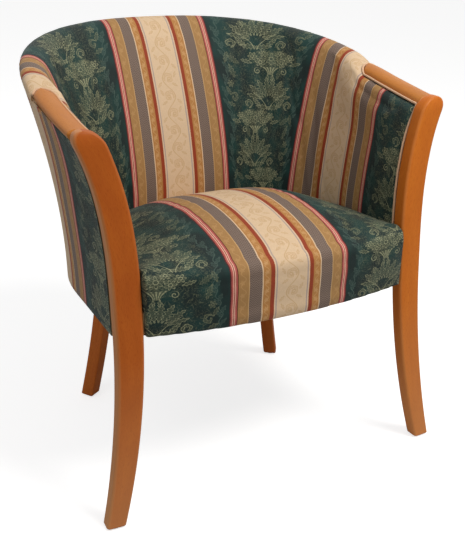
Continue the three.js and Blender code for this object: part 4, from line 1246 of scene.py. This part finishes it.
def cap_well(side):
    """The room round an arm cap and its welt, as a solid to cut with."""
    rings = []
    for at, across in cap_stations(WELL_GROW, 24):
        share = at / WALL_LENGTH
        low, high = cap_under(share) - WELL_GROW, rim_top(share) + WELL_ABOVE
        outer = across * (CAP_WIDTH / 2 + WELL_OUTSIDE) / (CAP_WIDTH / 2 + WELL_GROW)
        x, z = np.array([(-across, low), (outer, low), (outer, high), (-across, high)]).T
        rings.append(wall_points(side, share, z, cap_middle(share) + x))
    first = rings[0] - [0, WELL_AHEAD, 0]
    return loft("cap_well", [first, *rings])


def cut(obj, tool):
    modify(obj, "BOOLEAN", operation="DIFFERENCE", solver="MANIFOLD", object=tool)
    bpy.data.objects.remove(tool)


def padding(name, cloth, outer, inner, held_depth, held_height, tools=()):
    """A pad between two grids, blown up a little, cut by the tools and dressed in the cloth's places. Points
    deeper under the cloth than held_depth, or lower than held_height, stay where they are."""
    obj = solid_between(name, outer, inner)
    modify(obj, "REMESH", mode="VOXEL", voxel_size=VOXEL, adaptivity=0)
    reference = reference_tree(*cloth)
    _, distance = cloth_places(obj, reference)
    held = np.clip((distance - held_depth) / HELD_EASE, 0, 1)
    held[vertex_array(obj)[:, 2] < held_height] = 1
    puff(obj, held)
    modify(obj, "SUBSURF", levels=1, render_levels=1)
    for tool in tools:
        cut(obj, tool)
    dress(obj, reference, CLOTH)
    return obj


def back_padding():
    start, _ = wall_grid(COVER_INSET)
    inner, _ = wall_grid(PAD_DEPTH)
    wells = (cap_well(side) for side in (-1, 1))
    obj = padding("back_upholstery", wall_grid(0), start, inner, BACK_HELD_DEPTH, 0, wells)
    obj.data.set_sharp_from_angle(angle=math.radians(50))
    finish_piece(obj, "cover_fabric", "inside_cover", "back_pad")


# Seat

def seat_grid(inset, strips=96, face_steps=18, nose_steps=9, top_steps=80):
    """Lines from the seat's lower front edge up the front and over the top to the back."""
    angles = np.linspace(-math.pi / 2, math.pi / 2, strips + 1)
    rows, uvs = [], []
    for across in np.sign(angles) * np.abs(np.sin(angles)) ** (2 / PLAN_POWER):
        x = across * SEAT_SQUARE
        front = seat_front(x) + inset
        face_high = SEAT_EDGE_HEIGHT - SEAT_FRONT_ROUND
        depth = (1 - min(abs(across), 1) ** PLAN_POWER) ** (1 / PLAN_POWER)
        back = BEND_START + (float(back_inside(LINER_LOW)) - BEND_START) * depth - SEAT_GAP - inset
        face = [(front, z) for z in np.linspace(SEAT_BOTTOM, face_high, face_steps)]
        start_y = front + SEAT_FRONT_ROUND
        start_z = float(seat_height(x, start_y)) - inset
        nose = [(front + SEAT_FRONT_ROUND * (1 - math.cos(t)),
                 face_high + (start_z - face_high) * math.sin(t))
                for t in np.linspace(0, math.pi / 2, nose_steps)[1:]]
        top = [(y, float(seat_height(x, y)) - inset)
               for y in lerp(start_y, back, np.linspace(0, 1, top_steps) ** SEAT_TOP_SPREAD)[1:]]
        y, z = np.array(face + nose + top).T
        beside_leg = 1 - smooth_step(y, *SEAT_FILL_END)
        width = seat_half_width(y, z) - inset + SEAT_LEG_FILL * beside_leg
        rows.append(stacked(across * width, y, z))
        uvs.append(stacked(across * width * (2 * GROUP_HALF / SEAT_GROUP_WIDTH), run_along(y, z)))
    return np.array(rows), np.array(uvs)


def seat_padding():
    start, _ = seat_grid(SEAT_INSET)
    under = start.copy()
    under[..., 2] = np.minimum(start[..., 2], SEAT_BOTTOM + SEAT_PAD_LOW)
    under[..., 1] = np.maximum(start[..., 1], start[:, :1, 1] + SEAT_PAD_BACK)
    tacked = SEAT_BOTTOM + SEAT_TACKED
    obj = padding("seat_upholstery", seat_grid(0), start, under, SEAT_HELD_DEPTH, tacked)
    finish_piece(obj, "cover_fabric", "seat_cover", "seat_pad")


# Outside cover

def outside_cover():
    """The cloth outside the wall, turned in at its upper and lower edges."""
    turned_in = [WALL - depth for depth in HEM_DEPTHS]
    puffed = OUTSIDE_TIGHT + OUTSIDE_PUFF * np.sin(np.linspace(0, math.pi, OUTSIDE_ROWS)) ** 0.5
    depths = np.concatenate([turned_in[:2], WALL - OUTSIDE_INSET + puffed, turned_in[2:]])
    rows, uvs = [], []
    for side, share in wall_shares():
        top = float(outside_top(share))
        face = np.linspace(SEAT_BOTTOM, top, OUTSIDE_ROWS)
        z = np.concatenate([[SEAT_BOTTOM + HEM, SEAT_BOTTOM], face, [top, top - HEM * 2]])
        rows.append(wall_points(side, share, z, depths))
        group = OUTSIDE_GROUP_SHARE + OUTSIDE_LEAN_SHARE * smooth_step(z, *OUTSIDE_LEAN_SPAN)
        uvs.append(stacked(side * across_cloth(share, z, WALL, group), z))
    rows, uvs = np.array(rows), np.array(uvs)
    obj = new_mesh("outside_upholstery", rows.reshape(-1, 3), grid_faces(*rows.shape[:2]), CLOTH,
                   uv=uvs.reshape(-1, 2))
    finish_piece(obj, "cover_fabric", "outside_cover")


RIM_FROM_SHARE = (CAP_LENGTH - CAP_WIDTH / 2) / WALL_LENGTH
FLAP_FULL_SHARE = CAP_END_SHARE + FLAP_RUN / WALL_LENGTH


def outside_top(share):
    """Upper edge of the outside cover: under the flap of the rim, and under the caps at the sides."""
    past = np.clip((share - RIM_FROM_SHARE) / (FLAP_FULL_SHARE - RIM_FROM_SHARE), 0, 1)
    return lerp(cap_under(share), roll_low(share) - ROLL_DROP, past) - OUTSIDE_GAP


# Welts

def welt(name, side):
    """Piping up the rear edge of the leg, just inside the lower edge of the cap, and up round its end."""
    half = CAP_WIDTH / 2
    corner = CAP_UNDER_FRONT + PIPING_UP
    points = []
    for z in np.append(np.linspace(LINER_LOW + WELT_RADIUS, corner - WELT_RADIUS, 10), corner):
        turn_in = cap_middle(0) - half - PIPING_IN
        x = float(inside_x(0, z)) + turn_in * float(smooth_step(z, corner - WELT_CORNER, corner))
        points.append((side * x, float(leg_back(z, x)) + WELT_SEAT, z))
    for at in np.linspace(WELT_SEAT + WELT_RADIUS, CAP_LENGTH - half, 12):
        share = at / WALL_LENGTH
        depth = cap_middle(share) - half - PIPING_IN
        points.append(wall_points(side, share, cap_under(share) + PIPING_UP, depth))
    for angle in np.linspace(0, WELT_END_ANGLE, 11)[1:]:
        share = (CAP_LENGTH - half + (half + PIPING_IN) * math.sin(angle)) / WALL_LENGTH
        z = lerp(cap_under(share) + PIPING_UP, cap_top(share) - WELT_RADIUS, math.sin(angle))
        depth = cap_middle(share) - (half + PIPING_IN) * math.cos(angle)
        points.append(wall_points(side, share, z, depth))
    obj = tube(name, smooth_path(np.array(points), PIPING_STEP), WELT_RADIUS, PIPING_SIDES, PIPING)
    finish_piece(obj, "welt_cord", name)


def smooth_path(points, step):
    """Points a step apart on a Catmull-Rom curve through the given ones."""
    padded = np.concatenate([[2 * points[0] - points[1]], points, [2 * points[-1] - points[-2]]])
    found = []
    for a, b, c, d in zip(padded, padded[1:], padded[2:], padded[3:]):
        count = max(2, int(np.linalg.norm(c - b) / step))
        for t in np.linspace(0, 1, count, endpoint=False):
            found.append(0.5 * (2 * b + (c - a) * t + (2 * a - 5 * b + 4 * c - d) * t ** 2
                                + (3 * b - a - 3 * c + d) * t ** 3))
    found.append(points[-1])
    return np.array(found)


def tube(name, path, radius, sides, material):
    """A round tube along a path, with its ends rounded in."""
    tangents = np.gradient(path, axis=0)
    tangents /= np.linalg.norm(tangents, axis=1, keepdims=True)
    across = np.cross(tangents[0], [1.0, 0.0, 0.0])
    across /= np.linalg.norm(across)
    angles = np.linspace(0, 2 * math.pi, sides, endpoint=False)
    rings, uvs = [], []
    for i, (middle, tangent, along) in enumerate(zip(path, tangents, run_along(*path.T))):
        across = across - tangent * (across @ tangent)
        across /= np.linalg.norm(across)
        up = np.cross(tangent, across)
        scale = radius * (PIPING_END_SCALE if i in (0, len(path) - 1) else 1.0)
        rings.append(middle + scale * (np.cos(angles)[:, None] * across + np.sin(angles)[:, None] * up))
        uvs.append(stacked(angles * radius, along))
    return loft(name, rings, material, uv=uvs)


# Dust cover: black cloth stapled flat under the seat frame

def dust_cover():
    node = frame["nodes"]["dust_cover"]
    obj = add_object("dust_sheet", node.data.copy())
    obj.matrix_world = node.matrix_world.copy()
    paint(obj, FINISHES["lining_cloth"])
    finish_piece(obj, "lining_cloth", "dust_cover")


# Build the chair

for side_name, side in (("left", -1), ("right", 1)):
    for build in (front_leg, arm_cap, rear_leg, welt):
        build(f"{build.__name__}_{side_name}", side)
back_padding()
seat_padding()
outside_cover()
dust_cover()

slots = {row["node"]: row["material_slot"] for row in frame["record"]["subparts"]}
for node, obj in frame["nodes"].items():
    if slots[node] in FINISHES:
        paint(obj, FINISHES[slots[node]])


# Floor, light and camera

FLOOR_HALF = 30.0
FLOOR_GREY = 0.62
FLOOR_GLOW = 0.72
LENS = 59.95
CAMERA_PLACE = -0.746121, -1.15428, 1.031525
YAW, PITCH, ROLL = 0.496, 0.413, 0.033
LIT_POINT = 0, 0, 0.4


def floor():
    corners = [(x * FLOOR_HALF, y * FLOOR_HALF, 0) for x, y in ((-1, -1), (1, -1), (1, 1), (-1, 1))]
    mesh = bpy.data.meshes.new("floor")
    mesh.from_pydata(corners, [], [(0, 1, 2, 3)])
    material, tree, shader = new_material("floor")
    path = tree.nodes.new("ShaderNodeLightPath")
    put_all(shader, {
        "Base Color": (FLOOR_GREY, FLOOR_GREY, FLOOR_GREY, 1),
        "Roughness": 0.9,
        "Specular IOR Level": 0.0,
        "Emission Color": (1, 1, 1, 1),
        "Emission Strength": Field(path.outputs["Is Camera Ray"]) * FLOOR_GLOW,
    })
    mesh.materials.append(material)
    add_object("floor", mesh)


def area_light(name, place, size, power, colour):
    data = bpy.data.lights.new(name, "AREA")
    assign(data, shape="DISK", size=size, energy=power, color=colour)
    obj = add_object(name, data)
    obj.location = place
    obj.rotation_euler = (Vector(LIT_POINT) - Vector(place)).to_track_quat("-Z", "Y").to_euler()


def world_light(strength):
    """Even light of this strength, under a sky that the camera and reflections see as white."""
    world = bpy.data.worlds.new("studio")
    bpy.context.scene.world = world
    world.use_nodes = True
    outputs = world.node_tree.nodes.new("ShaderNodeLightPath").outputs
    seen = [Field(outputs[f"Is {kind} Ray"]) for kind in ("Camera", "Glossy", "Transmission")]
    seen = op("MINIMUM", seen[0] + seen[1] + seen[2], 1.0)
    put_all(world.node_tree.nodes["Background"], {
        "Color": (1, 1, 1, 1),
        "Strength": strength + seen * (1 - strength),
    })


def camera():
    """The photograph's view: a 60 mm lens on a 36 mm frame, looking down and turned to the right."""
    data = bpy.data.cameras.new("camera")
    assign(data, lens=LENS, sensor_width=36.0)
    obj = add_object("camera", data)
    ahead = Vector((math.sin(YAW), math.cos(YAW), 0))
    right = Vector((math.cos(YAW), -math.sin(YAW), 0))
    forward = ahead * math.cos(PITCH) - Vector((0, 0, 1)) * math.sin(PITCH)
    up = Vector((0, 0, 1)) * math.cos(PITCH) + ahead * math.sin(PITCH)
    rolled_right = right * math.cos(ROLL) + up * math.sin(ROLL)
    rolled_up = up * math.cos(ROLL) - right * math.sin(ROLL)
    axes = Matrix((rolled_right, rolled_up, -forward)).transposed()
    obj.matrix_world = Matrix.Translation(to_frame(CAMERA_PLACE)) @ axes.to_4x4()
    bpy.context.scene.camera = obj


floor()
area_light("key", (0.9, -1.3, 2.8), 1.3, 60, (1.0, 0.97, 0.93))
area_light("fill", (-1.7, -0.9, 2.4), 1.8, 9, (0.98, 0.98, 1.0))
world_light(0.33)
camera()
bpy.context.scene.view_settings.view_transform = "Standard"
